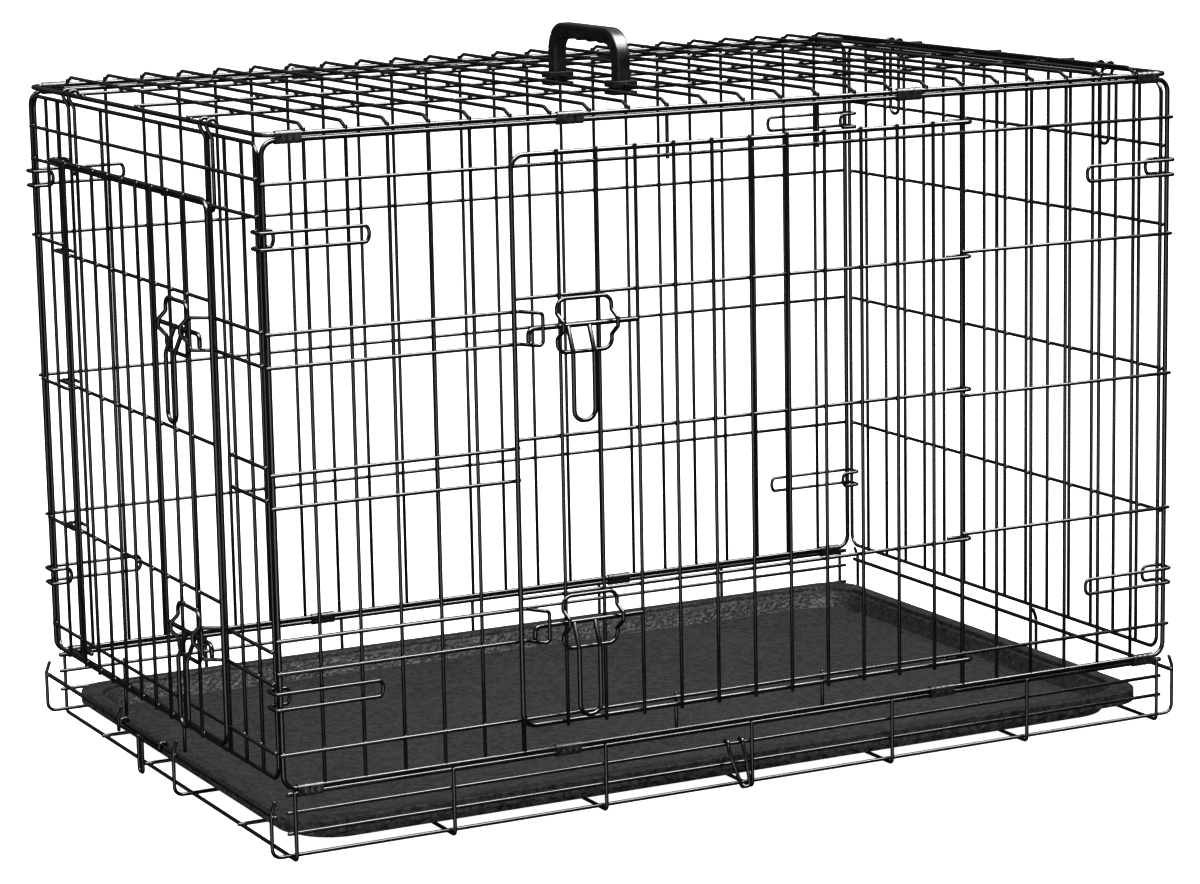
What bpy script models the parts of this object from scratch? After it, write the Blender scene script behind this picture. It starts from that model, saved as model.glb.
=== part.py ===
"""Folding wire dog crate with two doors, slide bolts, a carry handle and a lift-out floor pan.

Metres, +Z up, +X along the long side, -Y towards the main door.
The origin is on the floor under the middle of the crate, on the underside of the middle base wire.
"""

import math

import bmesh
import bpy
from mathutils import Matrix, Vector

# Wire gauges, as the radius to the corners of each six-sided section.
BORDER_R = 0.0023
WIRE_R = 0.0017
JAMB_R = 0.0021
ROD_R = 0.0022
WIRE_SIDES = 6
FLAT = math.cos(math.pi / WIRE_SIDES)
WELD_BITE = 0.0004
CLEARANCE = 0.0003
CURL_CLEARANCE = 0.0005
OVERHANG = 0.004
CORNER_BEND = 0.012
SMALL_BEND = 0.005
TIGHT_BEND = 0.003
BEND_STEPS = 2
HOOK_STEP = math.pi / 4

# Overall size of the folding cage, measured to the wire centre lines.
PITCH = 0.0381
LONG_CELLS = 24
HALF_LENGTH = PITCH * LONG_CELLS / 2
HALF_DEPTH = 0.292
PANEL_BOTTOM = 0.065
PANEL_TOP = 0.619
STACK_GAP = 0.0002
TOP_HEIGHT = PANEL_TOP + 2 * BORDER_R + STACK_GAP
LIP_TOP = PANEL_BOTTOM - 2 * BORDER_R
# The end panels swing between the tails of the hinge curls inside the front panel.
CURL_DEPTH = JAMB_R + CURL_CLEARANCE + 2 * BORDER_R
END_HALF = HALF_DEPTH - CURL_DEPTH - BORDER_R - CLEARANCE
END_CELLS = 15
END_MARGIN = 0.006
END_PITCH = 2 * (HALF_DEPTH - END_MARGIN) / END_CELLS
END_TOP_DROP = 0.0078
END_TOP = TOP_HEIGHT - END_TOP_DROP
END_BOTTOM_RISE = 0.006
END_BOTTOM = PANEL_BOTTOM + END_BOTTOM_RISE
RIGHT_BOTTOM_RISE = 0.0044
RIGHT_BOTTOM = PANEL_BOTTOM + RIGHT_BOTTOM_RISE

# Distance of each layer of wire from its panel's border layer, going outwards.
# Uprights lie in the border's layer; bars cross outside it, welded to the heavier posts and jambs.
CROSS_STEP = BORDER_R + WIRE_R - WELD_BITE
DOOR_STEP = CROSS_STEP + WIRE_R + CLEARANCE + BORDER_R
DOOR_RODS_STEP = DOOR_STEP + CROSS_STEP
GUIDE_STEP = DOOR_RODS_STEP + 2 * WIRE_R + CLEARANCE
BOLT_STEP = DOOR_RODS_STEP + WIRE_R + CLEARANCE + ROD_R
KEEPER_STEP = BOLT_STEP + ROD_R + CLEARANCE + WIRE_R
GUIDE_BUMP_PROUD = 0.0015
GUIDE_BUMP_STEP = KEEPER_STEP + GUIDE_BUMP_PROUD
HANDLE_STAND_OFF = 0.010
HANDLE_STEP = BOLT_STEP + HANDLE_STAND_OFF

# Main door, which swings about the front jamb to the right of its opening.
FRONT_HIGH_BAR_DROP = 0.0357
FRONT_LOW_BAR_RISE = 0.031
FRONT_BARS_Z = (PANEL_TOP - FRONT_HIGH_BAR_DROP, PANEL_BOTTOM + FRONT_LOW_BAR_RISE)
FRONT_RIGHT_BARS_Z = (PANEL_TOP - 0.1454, 0.3402, 0.210)
FRONT_JAMBS = (6, 18)
FRONT_STUBS = (10, 14)
FRONT_LATCH_X = (FRONT_JAMBS[0] - LONG_CELLS / 2) * PITCH
FRONT_DOOR_LEFT = FRONT_LATCH_X - 0.0039
FRONT_DOOR_Z = (FRONT_BARS_Z[1] - 0.005, FRONT_BARS_Z[0] + 0.0097)
FRONT_DOOR_BARS_Z = (0.2058, 0.3463, PANEL_TOP - 0.1495)
FRONT_DOOR_RODS = range(7, 18)
FRONT_BOLTS_Z = (PANEL_TOP - 0.1754, 0.1812)
FRONT_KEEPER_END = FRONT_LATCH_X + 0.0176
FRONT_STOP_Z = 0.324
FRONT_STOP_END = FRONT_LATCH_X - 0.0011

# Side door, which swings about a jamb of the left end panel.
END_BARS_Z = (END_TOP - 0.0292, END_TOP - 0.0606, END_BOTTOM + 0.0245)
END_JAMB_INSET = 0.0678
END_JAMB_U = END_HALF - END_JAMB_INSET
END_LATCH_JAMB = 12
END_STUBS = (5, 9)
END_BACK_BARS_Z = (END_TOP - 0.1365, 0.340, 0.2025)
LEFT_LATCH_INSET = 0.0982
LEFT_DOOR_LATCH_U = LEFT_LATCH_INSET - END_HALF
LEFT_DOOR_Z = (END_BARS_Z[2] - 0.0155, END_BARS_Z[1] + 0.0046)
LEFT_DOOR_BARS_Z = (0.208, 0.348, END_TOP - 0.1425)
LEFT_DOOR_RODS = range(3, 12)
LEFT_BOLTS_Z = (END_TOP - 0.172, 0.170)
LEFT_KEEPER_END = LEFT_DOOR_LATCH_U + 0.021
LEFT_STOP_Z = 0.329
LEFT_STOP_END = LEFT_DOOR_LATCH_U - 0.020
TONGUE_BOTTOM = END_BOTTOM - 0.028

# Slide bolts: distances run from the bolt's bent tip, away from the keeper.
HAIRPIN_HALF = 0.0142
KEEPER_LEAD = 0.005
KEEPER_RAMP = 0.010
KEEPER_BEND = 0.004
STOP_BEND = 0.002
BOLT_INSET = 0.012
BOLT_LENGTH = 0.107
BOLT_TIP_DROP = 0.012
GUIDE_START = 0.028
GUIDE_LENGTH = 0.053
GUIDE_HALF = 0.0235
GUIDE_BUMP_SHIFT = 0.003
GUIDE_BUMP_HALF = 0.0035
GUIDE_BUMP_FOOT = 0.011
HANDLE_START = 0.038
HANDLE_WIDTH = 0.0205
HANDLE_SLANT = 0.0225
HANDLE_DROP = 0.0825
CURL_TAIL = 0.014

# Rest of the back and right panels.
BACK_BARS_Z = [PANEL_BOTTOM + (PANEL_TOP - PANEL_BOTTOM) * k / 4 for k in (1, 2, 3)]
RIGHT_BARS_Z = (END_TOP - 0.0606, END_TOP - 0.1353, 0.3423, RIGHT_BOTTOM + 0.1351)

# Top panel and the hangers that the end panels swing on.
RUNNERS_Y = (0.142, -0.006, -0.134)
RIB_FOOT = 0.005
RIB_SLOPE = 0.008
HANGERS_U = {"left": (0.175, -0.175), "right": (0.190, -0.190)}
HANGER_HALF = 0.008
HANGER_LENGTH = 0.066
HANGER_BOTTOM = END_TOP - HANGER_LENGTH
HANGER_CURL_R = 0.005
HANGER_CURL_FROM = math.radians(-30)
HANGER_CURL_TURN = math.radians(240)
HANGER_CURL_STEPS = 5

# Snap loops that hold the end panels at the corners.
SNAP_DROP = 0.080
SNAP_Z = (END_TOP - SNAP_DROP, 0.143)
SNAP_HALF = 0.007
SNAP_REACH = 0.0892
SNAP_HOOK = 0.0102
SNAP_PROUD = 0.0062
SNAP_END = HALF_LENGTH - SNAP_REACH
SNAP_RETURN = HALF_LENGTH - SNAP_HOOK
SNAP_OUT_X = HALF_LENGTH + SNAP_PROUD
SNAP_BEND = 0.0045
SNAP_NOSE = 0.004
SNAP_SIDES = 4

# Crimped sleeves that tie neighbouring panels along their long edges.
SLEEVE_WALL = 0.0007
SLEEVE_HALF = 0.0125
CORNER_SLEEVE_HALF = 0.0115
CORNER_SLEEVE_INSET = 0.0237
CORNER_SLEEVE_X = HALF_LENGTH - CORNER_SLEEVE_INSET
MIDDLE_SLEEVE_X = 4.5 * PITCH
FRONT_LOW_SLEEVES_PAST = (0.0365, 0.0555)

# Base frame that carries the pan.
BASE_CELLS = 6
BASE_MARGIN = 0.0087
BASE_CELL = 2 * (HALF_LENGTH - BASE_MARGIN) / BASE_CELLS
LIP_BAR_DROPS = (0.0164, 0.0349)
LIP_BARS_Z = [LIP_TOP - drop for drop in LIP_BAR_DROPS]
LIP_BEND = 0.004
LIP_BAR_SETBACK = 0.002
FLOOR_BAR_SPACING = 2 * HALF_DEPTH / 5
FLOOR_BAR_SETBACK = 0.0022
FLOOR_BAR_END = HALF_LENGTH - FLOOR_BAR_SETBACK
CORNER_INSET = 0.0012
END_BAR_PROUD = 0.0093
END_BAR_X = HALF_LENGTH + END_BAR_PROUD
END_BAR_R = 0.0020
LEFT_BAR_Z = 0.042
RIGHT_BAR_Z = 0.049
LEG_BEND = 0.008
TIP_RISE = 0.014
TIP_KNEE = 0.003
TIP_LEAN = 0.004
TIP_TAIL = 0.010
LONE_HOOK_Y = 0.085

# Wire stops that hang on the base frame.
STOP_ENDS_Y = (0.077, -0.025)
STOP_LOOP_Y = (0.041, 0.031)
STOP_LOOP_BOTTOM = 0.004
STOP_HOOK_STEP = 0.004
CLIP_TOPS_X = (-0.025, -0.010)
CLIP_FOOT_X = (-0.014, -0.0055)
CLIP_FOOT_Z = 0.004
CLIP_STAND_OFF = 0.0045
CLIP_NECK = 0.004
CLIP_SHOULDER = 0.010

# Floor pan.
PAN_END_GAP = 0.0112
PAN_SIDE_GAP = 0.007
PAN_HALF_X = HALF_LENGTH - PAN_END_GAP
PAN_HALF_Y = HALF_DEPTH - PAN_SIDE_GAP
PAN_RIM_Z = 0.030
PAN_WALL = 0.003
PAN_RIM_WIDTH = 0.009
PAN_DRAFT = 0.004
PAN_FILLET = 0.004
PAN_INNER_FILLET = 0.003
PAN_CORNER = 0.035
PAN_CORNER_STEPS = 4

# Carry handle, clipped round two crossings of the top panel.
HANDLE_ROD = 11
HANDLE_FEET_Y = RUNNERS_Y[1:]
HANDLE_RISE = 0.0582
HANDLE_TOP = TOP_HEIGHT + HANDLE_RISE
HANDLE_HALF_X = 0.0085
HANDLE_THICK = 0.0075
HANDLE_CORNER = 0.020
FOOT_HALF_X = 0.0125
FOOT_HALF_Y = 0.0095
FOOT_PLATE = 0.0032
FOOT_CAP = 0.002
SCALLOPS = 4
SCALLOP_R = 0.014
SCALLOP_DEPTH = 0.003
SCALLOP_SIDES = 16

UP = Vector((0, 0, 1))
SIDES = {
    "front": (Vector((1, 0, 0)), Vector((0, -1, 0))),
    "back": (Vector((1, 0, 0)), Vector((0, 1, 0))),
    "left": (Vector((0, 1, 0)), Vector((-1, 0, 0))),
    "right": (Vector((0, 1, 0)), Vector((1, 0, 0))),
}


def clear_scene():
    for obj in list(bpy.data.objects):
        bpy.data.objects.remove(obj, do_unlink=True)


def new_material(name, colour, roughness, metallic=0.0):
    material = bpy.data.materials.new(name)
    material.use_nodes = True
    shader = material.node_tree.nodes["Principled BSDF"]
    shader.inputs["Base Color"].default_value = (*colour, 1.0)
    shader.inputs["Roughness"].default_value = roughness
    shader.inputs["Metallic"].default_value = metallic
    return material


def on_side(side, u, w, z):
    """Place a point u along a side, w outwards from the crate's middle and z up."""
    along, out = SIDES[side]
    return along * u + out * w + UP * z


def rod_u(index):
    """Give the place of an upright along the front, back or top."""
    return (index - LONG_CELLS / 2) * PITCH


def end_u(index):
    """Give the place of an upright along an end panel, counted from the back."""
    return (END_CELLS / 2 - index) * END_PITCH


def bent(points, radius, closed=False, steps=BEND_STEPS):
    """Round off each corner of a path to the bend radius."""
    points = [Vector(point) for point in points]
    count = len(points)
    path = []
    for i, point in enumerate(points):
        if not closed and i in (0, count - 1):
            path.append(point)
            continue
        into = (point - points[i - 1]).normalized()
        away = (points[(i + 1) % count] - point).normalized()
        turn = into.angle(away)
        if turn < 1e-3:
            path.append(point)
            continue
        start = point - into * radius * math.tan(turn / 2)
        inward = (away - into * into.dot(away)).normalized()
        centre = start + inward * radius
        for k in range(steps + 1):
            angle = turn * k / steps
            path.append(centre + radius * (into * math.sin(angle) - inward * math.cos(angle)))
    return path


def wire(bm, path, radius, facing, closed=False, sides=WIRE_SIDES):
    """Extrude a ring along a path, mitred at each bend, with a corner of it towards facing."""
    points = [Vector(point) for point in path]
    count = len(points)
    runs = [(points[(i + 1) % count] - point).normalized() for i, point in enumerate(points)]
    across = runs[0].cross(facing).normalized()
    toward = across.cross(runs[0])
    first = bmesh.ops.create_circle(bm, segments=sides, radius=radius)["verts"]
    for k, vert in enumerate(first):
        angle = 2 * math.pi * k / sides
        vert.co = points[0] + radius * (math.cos(angle) * toward + math.sin(angle) * across)
    if closed:
        mitre(first, points[0], runs[0], runs[-1] + runs[0])
    first_edges = list({edge for vert in first for edge in vert.link_edges})
    edges = first_edges
    for i in range(1, count):
        extruded = bmesh.ops.extrude_edge_only(bm, edges=edges)["geom"]
        verts = [item for item in extruded if isinstance(item, bmesh.types.BMVert)]
        edges = [
            item for item in extruded
            if isinstance(item, bmesh.types.BMEdge) and all(vert in verts for vert in item.verts)
        ]
        last = i == count - 1 and not closed
        mitre(verts, points[i], runs[i - 1], runs[i - 1] if last else runs[i - 1] + runs[i])
    if closed:
        bmesh.ops.bridge_loops(bm, edges=first_edges + edges)
    else:
        bmesh.ops.holes_fill(bm, edges=first_edges, sides=sides)
        bmesh.ops.holes_fill(bm, edges=edges, sides=sides)


def mitre(verts, point, run, normal):
    """Slide a ring along its run until it lies in the plane through point."""
    for vert in verts:
        vert.co += run * ((point - vert.co).dot(normal) / run.dot(normal))


def straight(bm, start, end, radius, facing):
    wire(bm, (start, end), radius, facing)


def upright(bm, side, u, w, low, high, radius=WIRE_R):
    straight(bm, on_side(side, u, w, low), on_side(side, u, w, high), radius, SIDES[side][1])


def level(bm, side, z, w, start, end, radius=WIRE_R):
    straight(bm, on_side(side, start, w, z), on_side(side, end, w, z), radius, SIDES[side][1])


def place_of(obj):
    """Add up an object's location and its parents', none of which is turned."""
    place = Vector()
    while obj:
        place += obj.location
        obj = obj.parent
    return place


def add_node(name, layers, material, pivot=(0, 0, 0), parent=None):
    """Make one object from its layers of shapes, welded by Boolean unions."""
    body = None
    for index, bm in enumerate(layers):
        bmesh.ops.recalc_face_normals(bm, faces=bm.faces[:])
        bmesh.ops.translate(bm, vec=-Vector(pivot), verts=bm.verts[:])
        mesh = bpy.data.meshes.new(name)
        bm.to_mesh(mesh)
        bm.free()
        mesh.shade_smooth()
        mesh.set_sharp_from_angle(angle=math.radians(50))
        obj = bpy.data.objects.new(name if index == 0 else f"{name}_layer_{index}", mesh)
        bpy.context.collection.objects.link(obj)
        obj.parent = parent
        obj.location = Vector(pivot) - place_of(parent)
        if index == 0:
            mesh.materials.append(material)
            body = obj
        else:
            add_boolean(body, obj, "UNION")
    return body


def add_boolean(body, tool, operation):
    tool.hide_render = True
    tool.display_type = "WIRE"
    modifier = body.modifiers.new(tool.name, "BOOLEAN")
    modifier.operation = operation
    modifier.solver = "EXACT"
    modifier.object = tool


def panel_border(bm, side, half, w, low, high):
    corners = [
        on_side(side, -half, w, low),
        on_side(side, half, w, low),
        on_side(side, half, w, high),
        on_side(side, -half, w, high),
    ]
    wire(bm, bent(corners, CORNER_BEND, closed=True), BORDER_R, SIDES[side][1], closed=True)


def hairpin(bm, side, post, end, middle, half, w, ramp_to=None):
    """Add a two-armed stop or keeper, with its closed end drawn outwards where it takes a bolt."""
    arms = []
    for z in (middle + half, middle - half):
        arm = [on_side(side, post, w, z)]
        if ramp_to is not None:
            away = math.copysign(1, end - post)
            foot = end - away * (KEEPER_LEAD + KEEPER_RAMP)
            arm.append(on_side(side, foot, w, z))
            arm.append(on_side(side, end - away * KEEPER_LEAD, ramp_to, z))
        arms.append(arm)
    closed_w = w if ramp_to is None else ramp_to
    tip = [on_side(side, end, closed_w, middle + half), on_side(side, end, closed_w, middle - half)]
    bend = STOP_BEND if ramp_to is None else KEEPER_BEND
    path = arms[0] + bent([arms[0][-1], *tip, arms[1][-1]], bend)[1:-1] + arms[1][::-1]
    wire(bm, path, WIRE_R, SIDES[side][1])


def build_front_panel(material):
    border, uprights, bars = bmesh.new(), bmesh.new(), bmesh.new()
    side, w = "front", HALF_DEPTH
    panel_border(border, side, HALF_LENGTH, w, PANEL_BOTTOM, PANEL_TOP)
    bars_w = w + CROSS_STEP
    post = HALF_LENGTH + OVERHANG
    high_bar, low_bar = FRONT_BARS_Z
    for index in (*range(1, FRONT_JAMBS[0]), *range(FRONT_JAMBS[1] + 1, LONG_CELLS)):
        upright(uprights, side, rod_u(index), w, PANEL_BOTTOM, PANEL_TOP)
    for index in FRONT_JAMBS:
        upright(uprights, side, rod_u(index), w, PANEL_BOTTOM, PANEL_TOP, JAMB_R)
    for index in FRONT_STUBS:
        upright(uprights, side, rod_u(index), w, high_bar - OVERHANG, PANEL_TOP)
        upright(uprights, side, rod_u(index), w, PANEL_BOTTOM, low_bar + OVERHANG)
    for z in FRONT_BARS_Z:
        level(bars, side, z, bars_w, -post, post)
    for z in FRONT_RIGHT_BARS_Z:
        level(bars, side, z, bars_w, rod_u(FRONT_JAMBS[1]) - OVERHANG / 2, post)
    for z in FRONT_BOLTS_Z:
        hairpin(bars, side, -post, FRONT_KEEPER_END, z, HAIRPIN_HALF, bars_w, w + KEEPER_STEP)
    hairpin(bars, side, -post, FRONT_STOP_END, FRONT_STOP_Z, HAIRPIN_HALF, bars_w)
    return add_node("front_panel", [border, uprights, bars], material)


def build_back_panel(material):
    border, uprights, bars = bmesh.new(), bmesh.new(), bmesh.new()
    side, w = "back", HALF_DEPTH
    panel_border(border, side, HALF_LENGTH, w, PANEL_BOTTOM, PANEL_TOP)
    for index in range(1, LONG_CELLS):
        upright(uprights, side, rod_u(index), w, PANEL_BOTTOM, PANEL_TOP)
    post = HALF_LENGTH + OVERHANG
    for z in BACK_BARS_Z:
        level(bars, side, z, w + CROSS_STEP, -post, post)
    return add_node("back_panel", [border, uprights, bars], material)


def build_top_panel(material):
    """Make the top: runners cross over its border, and bent wires cross over the runners."""
    border, runners, ribs = bmesh.new(), bmesh.new(), bmesh.new()
    corners = [
        (-HALF_LENGTH, -HALF_DEPTH, TOP_HEIGHT),
        (HALF_LENGTH, -HALF_DEPTH, TOP_HEIGHT),
        (HALF_LENGTH, HALF_DEPTH, TOP_HEIGHT),
        (-HALF_LENGTH, HALF_DEPTH, TOP_HEIGHT),
    ]
    wire(border, bent(corners, CORNER_BEND, closed=True), BORDER_R, UP, closed=True)
    end = HALF_LENGTH + OVERHANG
    for y in RUNNERS_Y:
        straight(runners, (-end, y, runner_z()), (end, y, runner_z()), WIRE_R, UP)
    for index in range(1, LONG_CELLS):
        x = rod_u(index)
        path = [
            (x, -HALF_DEPTH - RIB_FOOT / 2, runner_z()),
            (x, -HALF_DEPTH + RIB_FOOT / 2, runner_z()),
            (x, -HALF_DEPTH + RIB_FOOT / 2 + RIB_SLOPE, rib_z()),
            (x, HALF_DEPTH - RIB_FOOT / 2 - RIB_SLOPE, rib_z()),
            (x, HALF_DEPTH - RIB_FOOT / 2, runner_z()),
            (x, HALF_DEPTH + RIB_FOOT / 2, runner_z()),
        ]
        wire(ribs, path, WIRE_R, UP)
    return add_node("top_panel", [border, runners, ribs], material)


def runner_z():
    return TOP_HEIGHT + BORDER_R + WIRE_R - WELD_BITE


def rib_z():
    return runner_z() + 2 * WIRE_R + CLEARANCE


def hanger(bm, side, u, w):
    """Add a long U among the uprights, whose two arms curl over the top panel's end wire."""
    arms = []
    for arm_u in (u + HANGER_HALF, u - HANGER_HALF):
        curl = []
        for k in range(HANGER_CURL_STEPS + 1):
            angle = HANGER_CURL_FROM + HANGER_CURL_TURN * k / HANGER_CURL_STEPS
            curl.append(on_side(
                side, arm_u, HALF_LENGTH + HANGER_CURL_R * math.cos(angle),
                TOP_HEIGHT + HANGER_CURL_R * math.sin(angle)))
        arms.append(curl[::-1] + [on_side(side, arm_u, w, END_TOP - OVERHANG)])
    foot = [on_side(side, arm_u, w, HANGER_BOTTOM) for arm_u in (u + HANGER_HALF, u - HANGER_HALF)]
    loop = bent([arms[0][-1], *foot, arms[1][-1]], HANGER_HALF * 0.9, steps=3)
    wire(bm, arms[0] + loop[1:-1] + arms[1][::-1], WIRE_R, SIDES[side][1])


def build_right_end(material):
    border, uprights, bars, hangers = (bmesh.new() for _ in range(4))
    side, w = "right", HALF_LENGTH
    panel_border(border, side, END_HALF, w, RIGHT_BOTTOM, END_TOP)
    for index in range(1, END_CELLS):
        upright(uprights, side, end_u(index), w, RIGHT_BOTTOM, END_TOP)
    for z in RIGHT_BARS_Z:
        level(bars, side, z, w + CROSS_STEP, -END_HALF - OVERHANG, END_HALF + OVERHANG)
    for u in HANGERS_U[side]:
        hanger(hangers, side, u, w)
    pivot = (HALF_LENGTH, 0, TOP_HEIGHT)
    return add_node("right_end_panel", [border, uprights, bars, hangers], material, pivot)


def build_left_end(material):
    border, uprights, bars, hangers = (bmesh.new() for _ in range(4))
    side, w = "left", HALF_LENGTH
    panel_border(border, side, END_HALF, w, END_BOTTOM, END_TOP)
    bars_w = w + CROSS_STEP
    for index in (1, *range(END_LATCH_JAMB + 1, END_CELLS)):
        upright(uprights, side, end_u(index), w, END_BOTTOM, END_TOP)
    for u in (END_JAMB_U, end_u(END_LATCH_JAMB)):
        upright(uprights, side, u, w, END_BOTTOM, END_TOP, JAMB_R)
    for index in END_STUBS:
        upright(uprights, side, end_u(index), w, END_BARS_Z[1] - OVERHANG, END_TOP)
        upright(uprights, side, end_u(index), w, TONGUE_BOTTOM, END_BARS_Z[2] + OVERHANG)
    post = END_HALF + OVERHANG
    for z in END_BARS_Z:
        level(bars, side, z, bars_w, -post, post)
    for z in END_BACK_BARS_Z:
        level(bars, side, z, bars_w, END_JAMB_U - OVERHANG / 2, post)
    for z in LEFT_BOLTS_Z:
        hairpin(bars, side, -post, LEFT_KEEPER_END, z, HAIRPIN_HALF, bars_w, w + KEEPER_STEP)
    hairpin(bars, side, -post, LEFT_STOP_END, LEFT_STOP_Z, HAIRPIN_HALF, bars_w)
    for u in HANGERS_U[side]:
        hanger(hangers, side, u, w)
    pivot = (-HALF_LENGTH, 0, TOP_HEIGHT)
    return add_node("left_end_panel", [border, uprights, bars, hangers], material, pivot)


def jamb_curl(side, jamb, away, w, door_w, radius, z):
    """Give the points of a flattened hook round a jamb, from its inner tail to the door's layer."""
    inner_w = w - JAMB_R - CURL_CLEARANCE - radius
    middle = (inner_w + door_w) / 2
    reach = (door_w - inner_w) / 2
    points = [on_side(side, jamb - away * CURL_TAIL, inner_w, z)]
    for k in range(5):
        angle = math.pi * k / 4
        u = jamb + away * reach * math.sin(angle)
        points.append(on_side(side, u, middle - reach * math.cos(angle), z))
    return points


def build_door(name, side, w, jamb, latch, heights, bars_z, rods_u, material, parent=None):
    """Make a door: its frame and bars curl round the jamb, and its rods cross outside them."""
    frame, bars, rods = bmesh.new(), bmesh.new(), bmesh.new()
    away = math.copysign(1, jamb - latch)
    low, high = heights
    door_w = w + DOOR_STEP
    top = jamb_curl(side, jamb, away, w, door_w, BORDER_R, high)
    bottom = jamb_curl(side, jamb, away, w, door_w, BORDER_R, low)
    corners = [top[-1], on_side(side, latch, door_w, high), on_side(side, latch, door_w, low), bottom[-1]]
    wire(frame, top[:-1] + bent(corners, CORNER_BEND) + bottom[:-1][::-1], BORDER_R, SIDES[side][1])
    for z in bars_z:
        path = jamb_curl(side, jamb, away, w, door_w, WIRE_R, z) + [on_side(side, latch, door_w, z)]
        wire(bars, path, WIRE_R, SIDES[side][1])
    for u in rods_u:
        upright(rods, side, u, w + DOOR_RODS_STEP, low - OVERHANG, high + OVERHANG)
    pivot = on_side(side, jamb, w, 0)
    return add_node(name, [frame, bars, rods], material, pivot, parent)


def build_guide(name, side, w, tip, z, material, parent):
    """Make the wire loop on a door that the bolt runs through."""
    bm = bmesh.new()
    start, end = tip + GUIDE_START, tip + GUIDE_START + GUIDE_LENGTH
    flat_w, bump_w = w + GUIDE_STEP, w + GUIDE_BUMP_STEP
    near, far = GUIDE_BUMP_HALF, GUIDE_BUMP_FOOT
    path = bent([
        on_side(side, start, flat_w, z - far),
        on_side(side, start, flat_w, z - GUIDE_HALF),
        on_side(side, end, flat_w, z - GUIDE_HALF),
        on_side(side, end, flat_w, z - far),
    ], SMALL_BEND)
    path += [
        on_side(side, end + GUIDE_BUMP_SHIFT, bump_w, z - near),
        on_side(side, end + GUIDE_BUMP_SHIFT, bump_w, z + near),
    ]
    path += bent([
        on_side(side, end, flat_w, z + far),
        on_side(side, end, flat_w, z + GUIDE_HALF),
        on_side(side, start, flat_w, z + GUIDE_HALF),
        on_side(side, start, flat_w, z + far),
    ], SMALL_BEND)
    path += [
        on_side(side, start + GUIDE_BUMP_SHIFT, bump_w, z + near),
        on_side(side, start + GUIDE_BUMP_SHIFT, bump_w, z - near),
    ]
    wire(bm, path, WIRE_R, SIDES[side][1], closed=True)
    return add_node(name, [bm], material, place_of(parent), parent)


def build_bolt(name, side, w, tip, z, material, parent):
    """Make a bolt: a rod with a bent tip, and a drop handle welded under it."""
    rod, handle = bmesh.new(), bmesh.new()
    rod_w, handle_w = w + BOLT_STEP, w + HANDLE_STEP
    path = bent([
        on_side(side, tip, rod_w, z - BOLT_TIP_DROP),
        on_side(side, tip, rod_w, z),
        on_side(side, tip + BOLT_LENGTH, rod_w, z),
    ], SMALL_BEND)
    wire(rod, path, ROD_R, SIDES[side][1])
    left, right = tip + HANDLE_START, tip + HANDLE_START + HANDLE_WIDTH
    foot = bent([
        on_side(side, left, handle_w, z - HANDLE_SLANT),
        on_side(side, left, handle_w, z - HANDLE_DROP),
        on_side(side, right, handle_w, z - HANDLE_DROP),
        on_side(side, right, handle_w, z - HANDLE_SLANT),
    ], HANDLE_WIDTH * 0.45, steps=3)
    path = [on_side(side, left, rod_w, z), *foot, on_side(side, right, rod_w, z)]
    wire(handle, path, WIRE_R, SIDES[side][0])
    pivot = on_side(side, tip, rod_w, z)
    return add_node(name, [rod, handle], material, pivot, parent)


def build_snap_loop(name, x_sign, y_sign, z, material):
    """Make a closed loop along a long panel, wrapped round the corner posts to a short inner end."""
    bm = bmesh.new()
    outer_y = HALF_DEPTH + BORDER_R + CLEARANCE + WIRE_R
    inner_y = END_HALF - BORDER_R - CLEARANCE - WIRE_R - WELD_BITE
    plan = [
        (SNAP_END, outer_y),
        (SNAP_OUT_X, outer_y),
        (SNAP_OUT_X, inner_y),
        (SNAP_RETURN, inner_y),
    ]
    upper = bent([(x_sign * x, y_sign * y, z + SNAP_HALF) for x, y in plan], SNAP_BEND)
    lower = bent([(x_sign * x, y_sign * y, z - SNAP_HALF) for x, y in plan], SNAP_BEND)
    end_in = [
        (x_sign * (SNAP_RETURN - SNAP_NOSE), y_sign * inner_y, z + SNAP_HALF * 0.4),
        (x_sign * (SNAP_RETURN - SNAP_NOSE), y_sign * inner_y, z - SNAP_HALF * 0.4),
    ]
    end_out = [
        (x_sign * (SNAP_END - SNAP_NOSE), y_sign * outer_y, z - SNAP_HALF * 0.4),
        (x_sign * (SNAP_END - SNAP_NOSE), y_sign * outer_y, z + SNAP_HALF * 0.4),
    ]
    path = upper + end_in + lower[::-1] + end_out
    wire(bm, path, WIRE_R, UP, closed=True, sides=SNAP_SIDES)
    return add_node(name, [bm], material)


def sleeve_outline(grow, low, high):
    """Give the rounded section of a sleeve's bore, grown outwards by its wall."""
    reach = BORDER_R + CLEARANCE + grow
    low_z = low - BORDER_R * FLAT - CLEARANCE - grow
    high_z = high + BORDER_R * FLAT + CLEARANCE + grow
    cut = reach * 0.45
    return [
        (reach, low_z + cut), (reach, high_z - cut), (reach - cut, high_z), (cut - reach, high_z),
        (-reach, high_z - cut), (-reach, low_z + cut), (cut - reach, low_z), (reach - cut, low_z),
    ]


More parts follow.
